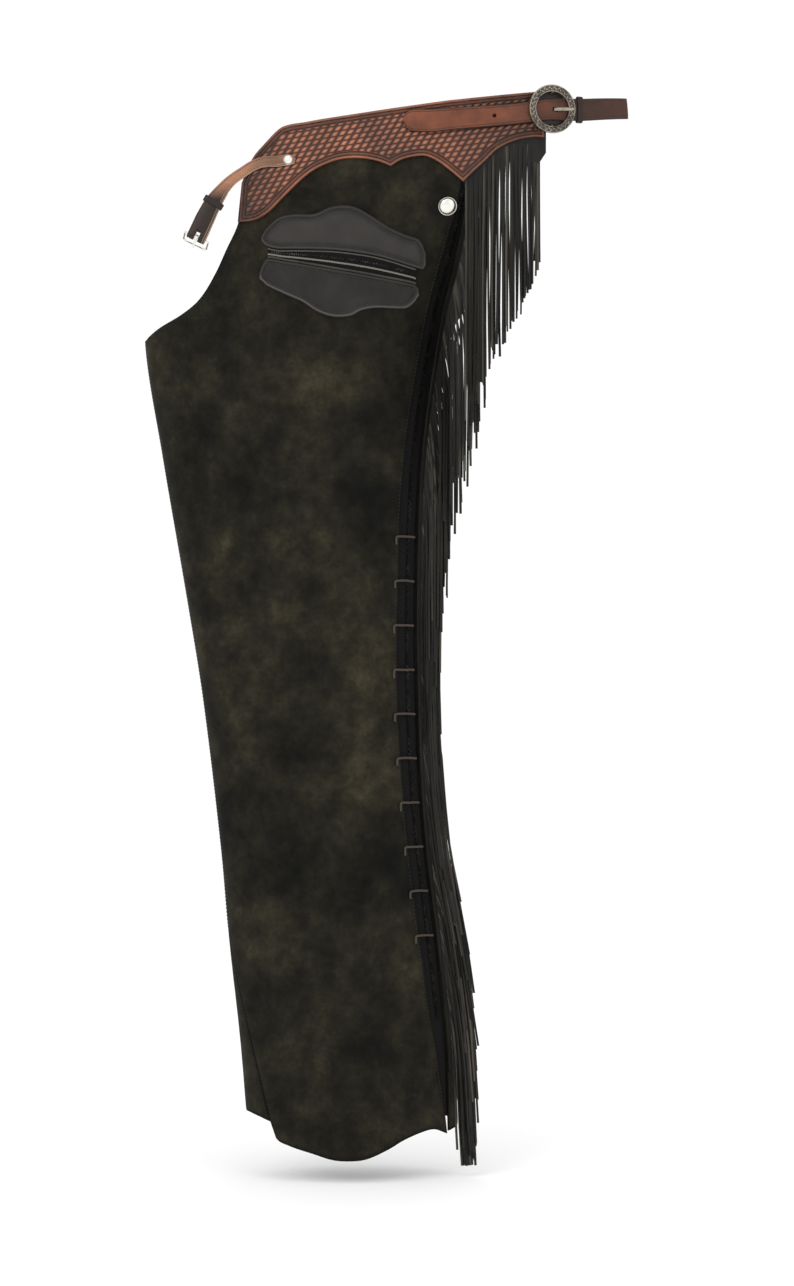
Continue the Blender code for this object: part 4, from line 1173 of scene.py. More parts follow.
def side_zip(sizes, colours):
    """The side zip: its tape under both panels, and its two rows of teeth."""
    rows = 240
    z = np.linspace(ZIP_TOP, TAPE_LOW, rows)
    a = angle_at(zip_front(z), z)
    b = angle_at(zip_back(z), z)
    rate = np.linalg.norm(bare(b, z) - bare(a, z), axis=-1) / (b - a)
    across = np.array((-0.35, 0, 0.2, 0.4, 0.47, 0.53, 0.6, 0.8, 1, 1.35))
    angles = a[:, None] + (b - a)[:, None] * np.clip(across, 0, 1)[None]
    angles[:, 0] = a - 3.2 / rate
    angles[:, -1] = b + 3.2 / rate
    heights = np.broadcast_to(z[:, None], angles.shape)
    lift = np.array((-SUEDE - 0.5, -SUEDE - 0.5, -SUEDE - 0.3, -1.9, -2.0, -2.0, -1.9, -SUEDE - 0.3, -SUEDE - 0.5, -SUEDE - 0.5))
    outer = skin(angles, heights, np.broadcast_to(lift, angles.shape))
    inner = skin(angles, heights, np.broadcast_to(lift - 1.0, angles.shape))
    tape = Shape()
    tape.sheet(outer, inner)
    settle(tape.make("side_zip_tape", finish_of("woven_tape", cloth_look, tuple(colours.tape_black))), "zip_tape", "zip_tape")

    teeth = Shape()
    count = int((ZIP_TOP - ZIP_LOW) / sizes.tooth_pitch) - 2
    at = ZIP_TOP - 3 - sizes.tooth_pitch * np.arange(count)
    middle = (angle_at(zip_front(at), at) + angle_at(zip_back(at), at)) / 2
    centres = skin(middle, at, -1.3)
    out = outward(middle, at)
    along = unit(np.gradient(centres, axis=0))
    side = np.cross(out, along)
    for number in range(count):
        shift = 0.5 if number % 2 else -0.5
        loops = []
        for share, fat in ((-1, 0.75), (-0.7, 1), (0.7, 1), (1, 0.75)):
            ring = ((1, 1), (-1, 1), (-1, -1), (1, -1))
            point = centres[number] + side[number] * (share * 1.7 + shift)
            loops.append([point + along[number] * p * 0.85 * fat + out[number] * q * 0.7 * fat for p, q in ring])
        teeth.loft(loops)
    finish = finish_of("black_metal", metal_look, (0.03, 0.028, 0.026), (0.01, 0.009, 0.008), 0.45, 0.65, 0.45)
    settle(teeth.make("side_zip_teeth", finish), "antique_silver")


def laces(sizes, colours):
    """The lacing loops over the side zip, each a strip across with a leg down."""
    shape = Shape()
    names = []
    for number in range(THONGS):
        z = THONG_TOP - THONG_STEP * number
        start = zip_front(z) - 5
        end = zip_back(z) - 3
        wide = 2.3
        bow = 0.8 * math.sin(1.7 * number)
        path = [(start + 1.1, z - 9.0 + bow), (start + 0.9, z - 5), (start + 1.1, z - 2.2), (start + 2.6, z - 1.0)]
        path += [((start + end) / 2, z - 0.9 + bow * 0.5), (end - 3, z - 1.1), (end, z - 1.4)]
        xs = np.array([p[0] for p in path])
        zs = np.array([p[1] for p in path])
        fine = np.linspace(0, len(path) - 1, 26)
        xs = run([(i, v) for i, v in enumerate(xs)], 1)(fine)
        zs = run([(i, v) for i, v in enumerate(zs)], 1)(fine)
        middles = front(xs, zs, LAY_GAP + 0.7)
        out = outward(angle_at(xs, zs), zs)
        along = unit(np.gradient(middles, axis=0))
        side = np.cross(out, along)
        band(shape, middles, side, out, np.full(len(fine), wide / 2), 1.3)
        names.append(f"thong_{number + 1:02d}")
    leather = finish_of("lace_hide", smooth_look, tuple(colours.lace), 0.45)
    settle(shape.make("side_laces", leather), "fringe_leather", *names)


def belt_finish(colours):
    """The belt's leather: lighter towards its tip, darker beyond the buckle."""
    look = (tuple(colours.belt_brown), tuple(colours.antique), "X", 0.11, 0.18, 0.3)
    return finish_of("belt_hide", strap_look, *look)


def belt(sizes, colours):
    """The belt, with a rounded tip, creased edges and a punched hole."""
    x = np.concatenate([8 + 12 * np.linspace(0, 1, 22) ** 1.6, np.linspace(21, 228.5, 130)])
    middle = belt_middle(x)
    half = belt_width(x) / 2
    tip = np.sqrt(np.clip(1 - ((20 - x) / 12.2) ** 2, 0.02, 1))
    half = np.where(x < 20, 11 * tip, half)
    middles = front(x, middle, BELT_LIFT + BELT_LEATHER / 2)
    out = outward(angle_at(x, middle), middle)
    along = unit(np.gradient(middles, axis=0))
    side = np.cross(out, along)
    shape = Shape()
    band(shape, middles, side, out, half, BELT_LEATHER, groove=0.3, crown=0.25)
    piece = shape.make("belt_leather_strap", belt_finish(colours), sharp=40)

    cutters = []
    deselect()
    _, up, out_here = place_frame(BELT_HOLE_X, belt_middle(BELT_HOLE_X))
    side_here = np.cross(up, out_here)
    bpy.ops.mesh.primitive_cylinder_add(vertices=24, radius=2.1 * MM, depth=12 * MM)
    hole = bpy.context.object
    set_in_place(hole, front(BELT_HOLE_X, belt_middle(BELT_HOLE_X), BELT_LIFT), side_here, up, out_here)
    cutters.append(hole)
    deselect()
    side_slot, up, out_here = place_frame(PRONG_SLOT_X, RING_Z)
    bpy.ops.mesh.primitive_cube_add(size=1)
    slot_box = bpy.context.object
    slot_box.data.transform(Matrix.Diagonal((6 * MM, 4.4 * MM, 14 * MM, 1)))
    set_in_place(slot_box, front(PRONG_SLOT_X, RING_Z, BELT_LIFT), side_slot, up, out_here)
    cutters.append(slot_box)
    cut_out(piece, cutters)
    settle(piece, "belt_leather", "belt")

    thread = Shape()
    for sign in (1, -1):
        keep = x > 16
        inset = 2.2
        z = middle[keep] + sign * (half[keep] - inset)
        angles = angle_at(x[keep], z)
        stitches(thread, front(x[keep], z, BELT_LIFT + BELT_LEATHER), outward(angles, z), pitch=2.9, length=2.1, wide=0.5)
    settle(thread.make("belt_stitching", finish_of("brown_thread", thread_look, colours.brown_thread)), "belt_leather")


def spun_profile(name, profile, steps=64):
    """Turns a profile of radii and heights, in millimetres, into a closed ring or cap by spinning it."""
    deselect()
    mesh = bpy.data.meshes.new(name)
    closed = profile[0][0] > 0
    points = [(r * MM, 0, h * MM) for r, h in profile]
    edges = [(i, i + 1) for i in range(len(points) - 1)]
    if closed:
        edges.append((len(points) - 1, 0))
    mesh.from_pydata(points, edges, [])
    piece = bpy.data.objects.new(name, mesh)
    bpy.context.collection.objects.link(piece)
    piece.select_set(True)
    bpy.context.view_layer.objects.active = piece
    bpy.ops.object.mode_set(mode="EDIT")
    bpy.ops.mesh.select_all(action="SELECT")
    bpy.ops.mesh.spin(steps=steps, angle=2 * math.pi, center=(0, 0, 0), axis=(0, 0, 1))
    bpy.ops.mesh.select_all(action="SELECT")
    bpy.ops.mesh.remove_doubles(threshold=0.00001)
    bpy.ops.mesh.normals_make_consistent(inside=False)
    bpy.ops.object.mode_set(mode="OBJECT")
    return piece


def join_into(piece, others):
    """Joins copies into one piece."""
    deselect()
    for other in others:
        other.select_set(True)
    piece.select_set(True)
    bpy.context.view_layer.objects.active = piece
    bpy.ops.object.join()
    return piece


def set_mark(piece, values):
    """Stores the number that the material reads at each point."""
    mark = piece.data.attributes.get("mark") or piece.data.attributes.new("mark", "FLOAT", "POINT")
    mark.data.foreach_set("value", np.asarray(values, np.float32))


def ring_buckle(sizes, colours):
    """The round buckle: a domed band between two rims, with a scroll raised all round, and its bar."""
    inner_r = RING_RADIUS - RING_BAND
    mid = (inner_r + RING_RADIUS) / 2
    profile = (
        (inner_r, 0.2),
        (inner_r, 2.2),
        (inner_r + 0.4, 2.7),
        (inner_r + 1.0, 2.7),
        (inner_r + 1.4, 2.2),
        (mid, 2.9),
        (RING_RADIUS - 1.6, 2.2),
        (RING_RADIUS - 1.2, 2.7),
        (RING_RADIUS - 0.5, 2.6),
        (RING_RADIUS, 1.9),
        (RING_RADIUS, 0.6),
        (RING_RADIUS - 0.6, 0.1),
    )
    piece = spun_profile("ring_buckle_engraved", profile, 96)
    side, up, out = place_frame(RING_X, RING_Z)
    centre = front(RING_X, RING_Z, BELT_LIFT + BELT_LEATHER + LAY_GAP)

    deselect()
    bpy.ops.mesh.primitive_uv_sphere_add(segments=10, ring_count=6, radius=1.0)
    leaf = bpy.context.object
    leaf.data.transform(Matrix.Diagonal((1.75 * MM, 0.62 * MM, 0.6 * MM, 1)))
    copies = []
    for number in range(26):
        turn = 2 * math.pi * number / 26
        for lean, reach in ((0.75, 0.9), (-0.75, -0.9)):
            twin = leaf.copy()
            twin.data = leaf.data.copy()
            bpy.context.collection.objects.link(twin)
            spot = Matrix.Rotation(turn + (0.05 if reach > 0 else -0.05), 4, "Z")
            spot = spot @ Matrix.Translation(((mid + reach) * MM, 0, 2.75 * MM))
            twin.data.transform(spot @ Matrix.Rotation(math.pi / 2 + lean, 4, "Z"))
            copies.append(twin)
    bpy.data.objects.remove(leaf)
    points = len(piece.data.vertices)
    heights = np.array([v.co.z for v in piece.data.vertices]) / MM
    radii = np.array([math.hypot(v.co.x, v.co.y) for v in piece.data.vertices]) / MM
    hollow = (radii > inner_r + 1.2) & (radii < RING_RADIUS - 1.4)
    join_into(piece, copies)
    marks = np.zeros(len(piece.data.vertices))
    marks[:points] = np.where(hollow & (heights > 1), 0.85, 0.1)
    set_mark(piece, marks)
    deselect()

    bar = Shape()
    bow = 8.2
    stations = ((-20.5, 1.4), (-16.5, 1.0), (-12.8, -bow + 1.5), (-11.2, -bow), (11.2, -bow), (12.8, -bow + 1.5))
    stations += ((16.5, 1.0), (20.5, 1.4))
    loops = []
    for along, height in stations:
        loops.append([(1.2 * math.cos(t), along, height + math.sin(t)) for t in np.linspace(0, 2 * math.pi, 9)[:-1]])
    bar.loft(loops)
    metal = (colours.antique_silver, (0.05, 0.045, 0.04), 0.28, 0.5, 0.3)
    finish = finish_of("aged_silver", metal_look, *metal)
    piece.data.materials.append(finish)
    rod = bar.make("ring_bar", finish)
    join_into(piece, [rod])
    set_in_place(piece, centre, side, up, out)
    piece.data.shade_smooth()
    piece.data.set_sharp_from_angle(angle=math.radians(40))
    settle(piece, "antique_silver", "ring_buckle")


def buckle_safe(sizes, colours):
    """The round leather safe behind the buckle."""
    deselect()
    bpy.ops.mesh.primitive_cylinder_add(vertices=72, radius=18.6 * MM, depth=1.6 * MM)
    piece = bpy.context.object
    piece.name = "buckle_safe"
    piece.data.name = "buckle_safe"
    round_off = piece.modifiers.new("round", "BEVEL")
    round_off.width = 0.6 * MM
    round_off.segments = 3
    apply_all(piece)
    radii = np.array([math.hypot(v.co.x, v.co.y) for v in piece.data.vertices]) / MM
    side, up, out = place_frame(RING_X, RING_Z)
    set_mark(piece, np.where(radii > 17.5, 1.0, 0.0))
    set_in_place(piece, front(RING_X, RING_Z, BELT_LIFT - 1.0), side, up, out)
    piece.data.materials.append(belt_finish(colours))
    piece.data.shade_smooth()
    piece.data.set_sharp_from_angle(angle=math.radians(40))
    settle(piece, "belt_leather")


def caps(sizes, colours):
    """The domed concho with its raised rim, and the rivet of the front strap."""
    silver = (colours.silver, (0.2, 0.17, 0.13), 0.16, 0.34, 0.2)
    finish = finish_of("plated_silver", metal_look, *silver)
    rise = LAY_GAP + YOKE_LEATHER + STRAP_LEATHER + 2.2 * SEAM_GAP
    for name, x, z, lift, radius, height, node, beads in (
        ("concho_dome", CONCHO_X, CONCHO_Z, LAY_GAP, 9.5, 4.8, "concho", 0),
        ("strap_rivet", RIVET_X, RIVET_Z, rise, 5.0, 2.5, "rivet", 0),
    ):
        dome = [(0.0, height)]
        for t in np.linspace(0.12, 1, 9):
            dome.append((radius * 0.86 * math.sin(t * math.pi / 2), height * (0.22 + 0.78 * math.cos(t * math.pi / 2))))
        rim = [(radius * 0.9, height * 0.16), (radius * 0.97, height * 0.2), (radius, height * 0.1), (radius, 0), (0.0, 0)]
        piece = spun_profile(name, dome + rim, 56)
        side, up, out = place_frame(x, z)
        radii = np.array([math.hypot(v.co.x, v.co.y) for v in piece.data.vertices]) / MM
        set_mark(piece, np.where(np.abs(radii - radius * 0.88) < 0.04 * radius, 0.8, 0.0))
        piece.data.materials.append(finish)
        set_in_place(piece, front(x, z, lift), side, up, out)
        piece.data.shade_smooth()
        piece.data.set_sharp_from_angle(angle=math.radians(50))
        settle(piece, "silver", node)


def strap_point(number):
    """A point on the middle of the front strap."""
    x, y, z, _ = FRONT_STRAP[number]
    if y is None:
        return front(x, z, LAY_GAP + YOKE_LEATHER + SEAM_GAP + STRAP_LEATHER / 2)
    return np.array((x, y, z), float)


def front_strap(sizes, colours):
    """The front strap: riveted on the yoke, hanging free and folded back round the buckle's bar."""
    path = [strap_point(i) for i in range(len(FRONT_STRAP))]
    widths = [row[3] for row in FRONT_STRAP]
    facing = []
    for x, _, z, _ in FRONT_STRAP:
        facing.append(outward(angle_at(x, z), z) if x > -130 else STRAP_FRONT)
    around = BAR_RADIUS + BAR_CLEAR + STRAP_LEATHER / 2
    bar = path[-1] + STRAP_DOWN * BAR_DROP - STRAP_FRONT * around
    path[-1] = bar + STRAP_FRONT * around - STRAP_DOWN * BAR_DROP * 1.4
    for turn in (90, 62, 34, 6, -22, -50, -78, -90):
        angle = math.radians(turn)
        way = STRAP_DOWN * math.cos(angle) + STRAP_FRONT * math.sin(angle)
        path.append(bar + way * around)
        facing.append(way)
        widths.append(widths[-1])
    path.append(bar - STRAP_FRONT * around - STRAP_DOWN * BAR_DROP * 1.4)
    facing.append(-STRAP_FRONT)
    widths.append(widths[-1])
    behind = np.array((0, STRAP_LEATHER + LAY_GAP, 0))
    for i in (9, 8, 7):
        path.append(strap_point(i) + behind)
        facing.append(-STRAP_FRONT)
        widths.append(FRONT_STRAP[i][3])
    path = np.array(path)
    length = np.concatenate([[0], np.cumsum(np.linalg.norm(np.diff(path, axis=0), axis=1))])
    folded = length[len(FRONT_STRAP) - 1]
    even = np.concatenate([np.linspace(0, folded, 60)[:-1], np.linspace(folded, length[-1], 54)])
    fine = np.stack([run([(s, v) for s, v in zip(length, path[:, k])], 1)(even) for k in range(3)], -1)
    out = np.stack([np.interp(even, length, np.array(facing)[:, k]) for k in range(3)], -1)
    wide = np.interp(even, length, widths)
    along = unit(np.gradient(fine, axis=0))
    side = unit(np.cross(out, along))
    out = np.cross(along, side)
    half = wide / 2
    half[0] *= 0.6
    half[1] *= 0.85
    shape = Shape()
    band(shape, fine, side, out, half, STRAP_LEATHER, groove=0.22, crown=0.12, left=0.15)
    # Painted shade: the strap is painted darker from 52 mm below the waist, darkest from 68 mm, on its lower part,
    # where it hangs and folds round the buckle in its own shade.
    look = (tuple(colours.strap_brown), tuple(colours.raw_edge), "Z", -0.052, -0.068, 0.05)
    piece = shape.make("front_strap_leather", finish_of("strap_hide", strap_look, *look), sharp=40)
    up = -STRAP_DOWN
    cutters = []
    for facing_way in (1, -1):
        deselect()
        bpy.ops.mesh.primitive_cube_add(size=2)
        box = bpy.context.object
        for vertex in box.data.vertices:
            x, y, z = vertex.co
            far = z * facing_way > 0
            top = SLOT_TOP_OUTSIDE if far else SLOT_TOP
            reach = SLOT_REACH if far else -0.1
            vertex.co = (x * SLOT_WIDE / 2 * MM, (top if y > 0 else -SLOT_LOW) * MM, facing_way * reach * MM)
        set_in_place(box, bar, STRAP_ACROSS, up, STRAP_FRONT)
        cutters.append(box)
    cut_out(piece, cutters)
    settle(piece, "strap_leather", "front_strap")

    thread = Shape()
    last = len(np.linspace(0, folded, 60)) - 6
    for sign in (1, -1):
        edge = fine[8:last] + side[8:last] * (half[8:last, None] - 1.9) * sign + out[8:last] * STRAP_LEATHER / 2
        stitches(thread, edge, out[8:last], pitch=2.7, length=1.9, wide=0.45)
    settle(thread.make("front_strap_stitching", finish_of("brown_thread", thread_look, colours.brown_thread)), "strap_leather")


def loop_round(name, centre, along, over, out, half_wide, half_deep, long, thick, material, slot, node):
    """A keeper: a flat loop of leather round a strap."""
    shape = Shape()
    stations = 40
    loops = []
    for i in range(stations):
        t = 2 * math.pi * i / stations
        c = math.copysign(abs(math.cos(t)) ** 0.35, math.cos(t)) if abs(math.cos(t)) > 1e-9 else 0
        s = math.copysign(abs(math.sin(t)) ** 0.35, math.sin(t)) if abs(math.sin(t)) > 1e-9 else 0
        middle = centre + over * c * (half_wide + thick / 2) + out * s * (half_deep + thick / 2)
        way = unit(over * c * half_deep + out * s * half_wide)
        section = strap_section(long / 2, thick)
        loops.append([middle + along * w + way * h for w, h in section])
    marks = [[1.0 if abs(w) > long / 2 - 0.7 else 0.0 for w, _ in strap_section(long / 2, thick)]] * stations
    shape.loft(loops, np.array(marks), closed=True)
    settle(shape.make(name, material), slot, node)


def keepers(sizes, colours):
    """The keepers of the belt and of the front strap."""
    x = 181.0
    z = float(belt_middle(x))
    side, up, out = place_frame(x, z)
    centre = front(x, z, BELT_LIFT + BELT_LEATHER / 2)
    loop_round(
        "belt_keeper_loop", centre, side, up, out, 11.9, 2.1, 5.6, 1.4, belt_finish(colours), "belt_leather", "belt_keeper"
    )

    at = strap_point(8)
    along = unit(strap_point(9) - strap_point(7))
    over = -unit(np.cross(along, STRAP_FRONT))
    middle = at + np.array((0, (STRAP_LEATHER + LAY_GAP) / 2, 0))
    dark = tuple(0.25 * c for c in colours.strap_brown)
    strap = finish_of("keeper_hide", strap_look, dark, tuple(colours.antique), "Z", -1, -2, 1.0)
    half_deep = STRAP_LEATHER + LAY_GAP / 2 + 0.4
    face = np.cross(along, over)
    loop_round("strap_keeper_loop", middle, along, over, face, 9.4, half_deep, 6.0, 1.3, strap, "strap_leather", "strap_keeper")


def ways_beside(z):
    """The level directions of the seam's strands: beside each other, out of the leather, and through one."""
    angle = angle_at(zip_back(z), z)
    round_way = unit(bare(angle + 1, z) - bare(angle, z))
    away = np.array((round_way[1], -round_way[0], 0))
    beside = unit(round_way + away * 0.6)
    return beside, away, np.array((beside[1], -beside[0], 0))


def beside_zip(z, away, lift):
    """Points over the back panel by a distance behind the side zip."""
    angle = angle_at(zip_back(z), z)
    rate = np.linalg.norm(bare(angle + 1, z) - bare(angle, z), axis=-1)
    return skin(angle + away / rate, z, lift)


def seam_fringe(sizes, colours):
    """The fringe along the side seam: a heading behind the zip and long cut strands that hang from it."""
    shape = Shape()
    z = np.linspace(FRINGE_TOP + 2, FRINGE_LOW, 200)
    aways = np.linspace(FRINGE_HEADING[0], FRINGE_HEADING[-1], 4)
    outer = np.stack([beside_zip(z, away, 0.75 + FRINGE_LEATHER) for away in aways], 1)
    inner = np.stack([beside_zip(z, away, 0.75) for away in aways], 1)
    shape.sheet(outer, inner, 0.35)
    up = np.array((0, 0, 1.0))
    count = sizes.seam_strands
    pitch = (FRINGE_TOP - FRINGE_LOW) / count
    chance = np.random.default_rng(7)
    for number in range(count):
        root = FRINGE_TOP - pitch * (number + 0.5)
        uneven = 12 * math.sin(2.4 * number / 3) + 8 * math.sin(0.9 * number + 1) + chance.uniform(-5, 5)
        length = min(FRINGE_LENGTH + uneven, root - FRINGE_LOWEST - max(0, uneven))
        beside, away, through = ways_beside(root)
        far = FRINGE_HEADING[-1]
        lane = sizes.lane_width * ((7 * number) % 10)
        layer = 1.3 * (number % 4)
        start = beside_zip(root, far, 0.75 + FRINGE_LEATHER / 2)
        lean = chance.uniform(-0.012, 0.012)
        twist = chance.uniform(-0.5, 0.5)
        wave = chance.uniform(-1.4, 1.4)
        width = sizes.strand_width * chance.uniform(0.85, 1.2)
        loops = []
        for down in [0] + [ring for ring in FRINGE_RINGS if ring < 0.85 * length] + [length]:
            moved = beside_zip(root - down, far, 0.75 + FRINGE_LEATHER / 2) - start
            fan = 1 - math.exp(-((down / 34) ** 2))
            aside = 3.0 * (1 - math.exp(-down / 7.0)) + max(0, moved @ beside) + lane * fan
            aside = aside + lean * down + wave * math.sin(down / 38 + number) * fan
            over = max(0, moved @ away) + layer * fan
            middle = start - up * down + beside * (aside - 0.6) + away * over
            turn = twist * down / 90
            face = unit(beside * math.cos(turn) + through * math.sin(turn))
            thin = unit(np.cross(face, up))
            half = width / 2
            if down == 0:
                face = up
                thin = unit(np.cross(beside, up))
            slim = FRINGE_LEATHER / 2 * 0.85
            ring = ((half, slim), (-half, slim), (-half, -slim), (half, -slim))
            loops.append([middle + face * a + thin * b for a, b in ring])
        shape.loft(loops, chance.uniform(0, 1) ** 1.6)
    leather = finish_of("fringe_hide", fringe_look, colours)
    settle(shape.make("seam_fringe_strands", leather, sharp=40), "fringe_leather", "seam_fringe")


def yoke_fringe(sizes, colours):
    """The fringe under the back arc of the yoke, with strands that hang plumb to a slanting line."""
    low_edge = run(YOKE_HEADING_LOW, 1)
    tips = run(YOKE_FRINGE_TIPS, 1)
    _, lows = yoke_edges(500)
    order = np.argsort(lows[:, 0])
    x = np.linspace(YOKE_FRINGE_FROM - 1, YOKE_FRINGE_TO + 6, 70)

    def heading(place):
        edge = np.interp(np.minimum(place, 147), lows[order, 0], lows[order, 1])
        tab = smooth_step(place, 128, 144)
        return edge + 7, (edge - 2.5) * (1 - tab) + np.minimum(low_edge(place), edge - 2.5) * tab

    top, low = heading(x)
    shares = np.linspace(0, 1, 8)
    z = top[None] + (low - top)[None] * shares[:, None]
    grid_x = np.broadcast_to(x, z.shape)
    shape = Shape()
    shape.sheet(front(grid_x, z, 0.1), front(grid_x, z, 0.1 - FRINGE_LEATHER), 0.2)
    count = sizes.yoke_strands
    chance = np.random.default_rng(11)
    pitch = (YOKE_FRINGE_TO - YOKE_FRINGE_FROM) / count
    for number in range(count):
        at = YOKE_FRINGE_FROM + pitch * (number + 0.5)
        level = float(heading(at)[1]) + 1.5
        uneven = 7 * math.sin(1.9 * number) + chance.uniform(-6, 6)
        tip = float(tips(at)) + uneven
        layer = (number % 3) * 1.3 - 0.8
        sway = chance.uniform(-1.2, 1.2)
        wave = chance.uniform(-1.5, 1.5)
        twist = chance.uniform(-0.6, 0.6)
        width = sizes.strand_width * chance.uniform(0.85, 1.15)
        start = front(at, level, 0.1 - FRINGE_LEATHER / 2)
        out = outward(angle_at(at, level), level)
        flat = unit(np.array((out[0], out[1], 0)))
        side = np.array((-flat[1], flat[0], 0))
        total = level - tip
        loops = []
        for share in (0, 0.06, 0.2, 0.35, 0.5, 0.65, 0.82, 1):
            down = total * share
            aside = sway * share + wave * math.sin(share * 4 + number) * min(1, share * 4)
            middle = start - np.array((0, 0, down)) + side * aside - flat * layer * min(1, 5 * share)
            turn = twist * share * 2
            face = side * math.cos(turn) + flat * math.sin(turn)
            thin = np.array((-face[1], face[0], 0))
            half = width / 2
            slim = FRINGE_LEATHER / 2 * 0.8
            ring = ((half, slim), (-half, slim), (-half, -slim), (half, -slim))
            loops.append([middle + face * a + thin * b for a, b in ring])
        shape.loft(loops, chance.uniform(0, 1) ** 1.4)
    leather = finish_of("fringe_hide", fringe_look, colours)
    settle(shape.make("yoke_fringe_strands", leather, sharp=40), "fringe_leather", "yoke_fringe")


def carried_over(sizes, colours):
    """Gives the solids that stay their finishes."""
    belt_leather = belt_finish(colours)
    antique = bpy.data.materials["aged_silver"]
    silver = bpy.data.materials["plated_silver"]
    for node, material in (
        ("ring_chape", belt_leather),
        ("ring_prong", antique),
        ("front_buckle", silver),
        ("front_prong", silver),
    ):
        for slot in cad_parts[node].material_slots:
            slot.material = material


def stage(settings):
    """The pale floor and backdrop, the soft lights and the camera."""
    deselect()
    bpy.ops.mesh.primitive_plane_add(size=settings.floor, location=(0, 0, FLOOR_Z))
    bpy.ops.object.transform_apply(location=True, rotation=True, scale=True)
    floor = bpy.context.object
    floor.name = "studio_floor"
    floor.data.materials.append(finish_of("studio_paper", stage_look, settings.paper))

    camera_data = bpy.data.cameras.new("photo_camera")
    camera = bpy.data.objects.new("photo_camera", camera_data)
    bpy.context.scene.collection.objects.link(camera)
    camera.location = CAMERA_AT
    camera.rotation_euler = (math.pi / 2, 0, 0)
    camera_data.lens = settings.lens
    camera_data.sensor_width = 36
    camera_data.clip_end = 50
    camera_data.dof.use_dof = False
    bpy.context.scene.camera = camera

    bpy.context.scene.view_settings.view_transform = "Standard"

    for name, at, aim, size, power in (
        ("key", (-1.6, -2.6, 1.3), (0, 0, -0.4), 1.6, settings.key_power),
        ("fill", (2.2, -2.4, 0.4), (0, 0, -0.5), 2.0, settings.fill_power),
        ("top", (0.2, -0.6, 2.2), (0, 0, -0.2), 1.6, settings.top_power),
    ):
        data = bpy.data.lights.new(name, "AREA")
        data.shape = "SQUARE"
        data.size = size
        data.energy = power
        light = bpy.data.objects.new(name, data)
        light.location = at
        light.rotation_euler = (Vector(aim) - Vector(at)).to_track_quat("-Z", "Y").to_euler()
        bpy.context.scene.collection.objects.link(light)
    world = bpy.data.worlds.new("studio_air")
    world.use_nodes = True
    world.node_tree.nodes["Background"].inputs["Color"].default_value = (1, 1, 1, 1)
    world.node_tree.nodes["Background"].inputs["Strength"].default_value = settings.air
    bpy.context.scene.world = world


# Settings, operators and panel


def length_of(name, description, default, low, high):
    """A length in millimetres that a user may change."""
    return bpy.props.FloatProperty(name=name, description=description, default=default, min=low, max=high)


def colour_of(name, description, default):
    """A colour that a user may change."""
    return bpy.props.FloatVectorProperty(
        name=name, description=description, default=default, subtype="COLOR", size=3, min=0, max=1
    )


class ChapSizes(bpy.types.PropertyGroup):
    """Sizes of the leather work."""

    panel_columns: bpy.props.IntProperty(name="Panel columns", description="Cells across a leg panel", default=64)
    panel_rows: bpy.props.IntProperty(name="Panel rows", description="Cells down a leg panel", default=170)
    yoke_columns: bpy.props.IntProperty(name="Yoke columns", description="Points along the yoke", default=380)
    yoke_rows: bpy.props.IntProperty(name="Yoke rows", description="Points down the yoke", default=96)
    weave_length: length_of("Weave length", "Length of one stamp of the basket weave, in mm", 7.9, 3, 20)
    weave_height: length_of("Weave height", "Height of one stamp of the basket weave, in mm", 5.0, 2, 12)
    weave_slope: length_of("Weave slope", "Slope of the rows of stamps, in degrees", 7.6, -45, 45)
    weave_lean: length_of("Weave lean", "How far a stamp leans along its row, in shares of its length", 0.55, -1, 1)
    weave_depth: length_of("Weave depth", "Depth of the stamping, in mm", 1.1, 0.2, 2)
    border: length_of("Border", "Width of the carved border, in mm", 6.5, 3, 12)
    strand_width: length_of("Strand width", "Width of a cut strand of fringe, in mm", 2.0, 1, 6)
    lane_width: length_of("Lane width", "Spacing of the seam strands side by side, in mm", 1.45, 0.5, 5)
    seam_strands: bpy.props.IntProperty(name="Seam strands", description="Strands on the side seam", default=264)
    yoke_strands: bpy.props.IntProperty(name="Yoke strands", description="Strands under the yoke", default=50)
    tooth_pitch: length_of("Tooth pitch", "Spacing of the side zip's teeth, in mm", 2.6, 1.5, 6)
    front_cut: bpy.props.FloatVectorProperty(
        name="Front cut", description="Width and length of the front panel's cut", default=(0.31, 1.013), size=2, unit="LENGTH"
    )
    back_cut: bpy.props.FloatVectorProperty(
        name="Back cut", description="Width and length of the back panel's cut", default=(0.373, 0.94), size=2, unit="LENGTH"
    )
    front_area: bpy.props.FloatProperty(name="Front area", description="Flat area of the front panel", default=0.228, unit="AREA")
    back_area: bpy.props.FloatProperty(name="Back area", description="Flat area of the back panel", default=0.2515, unit="AREA")


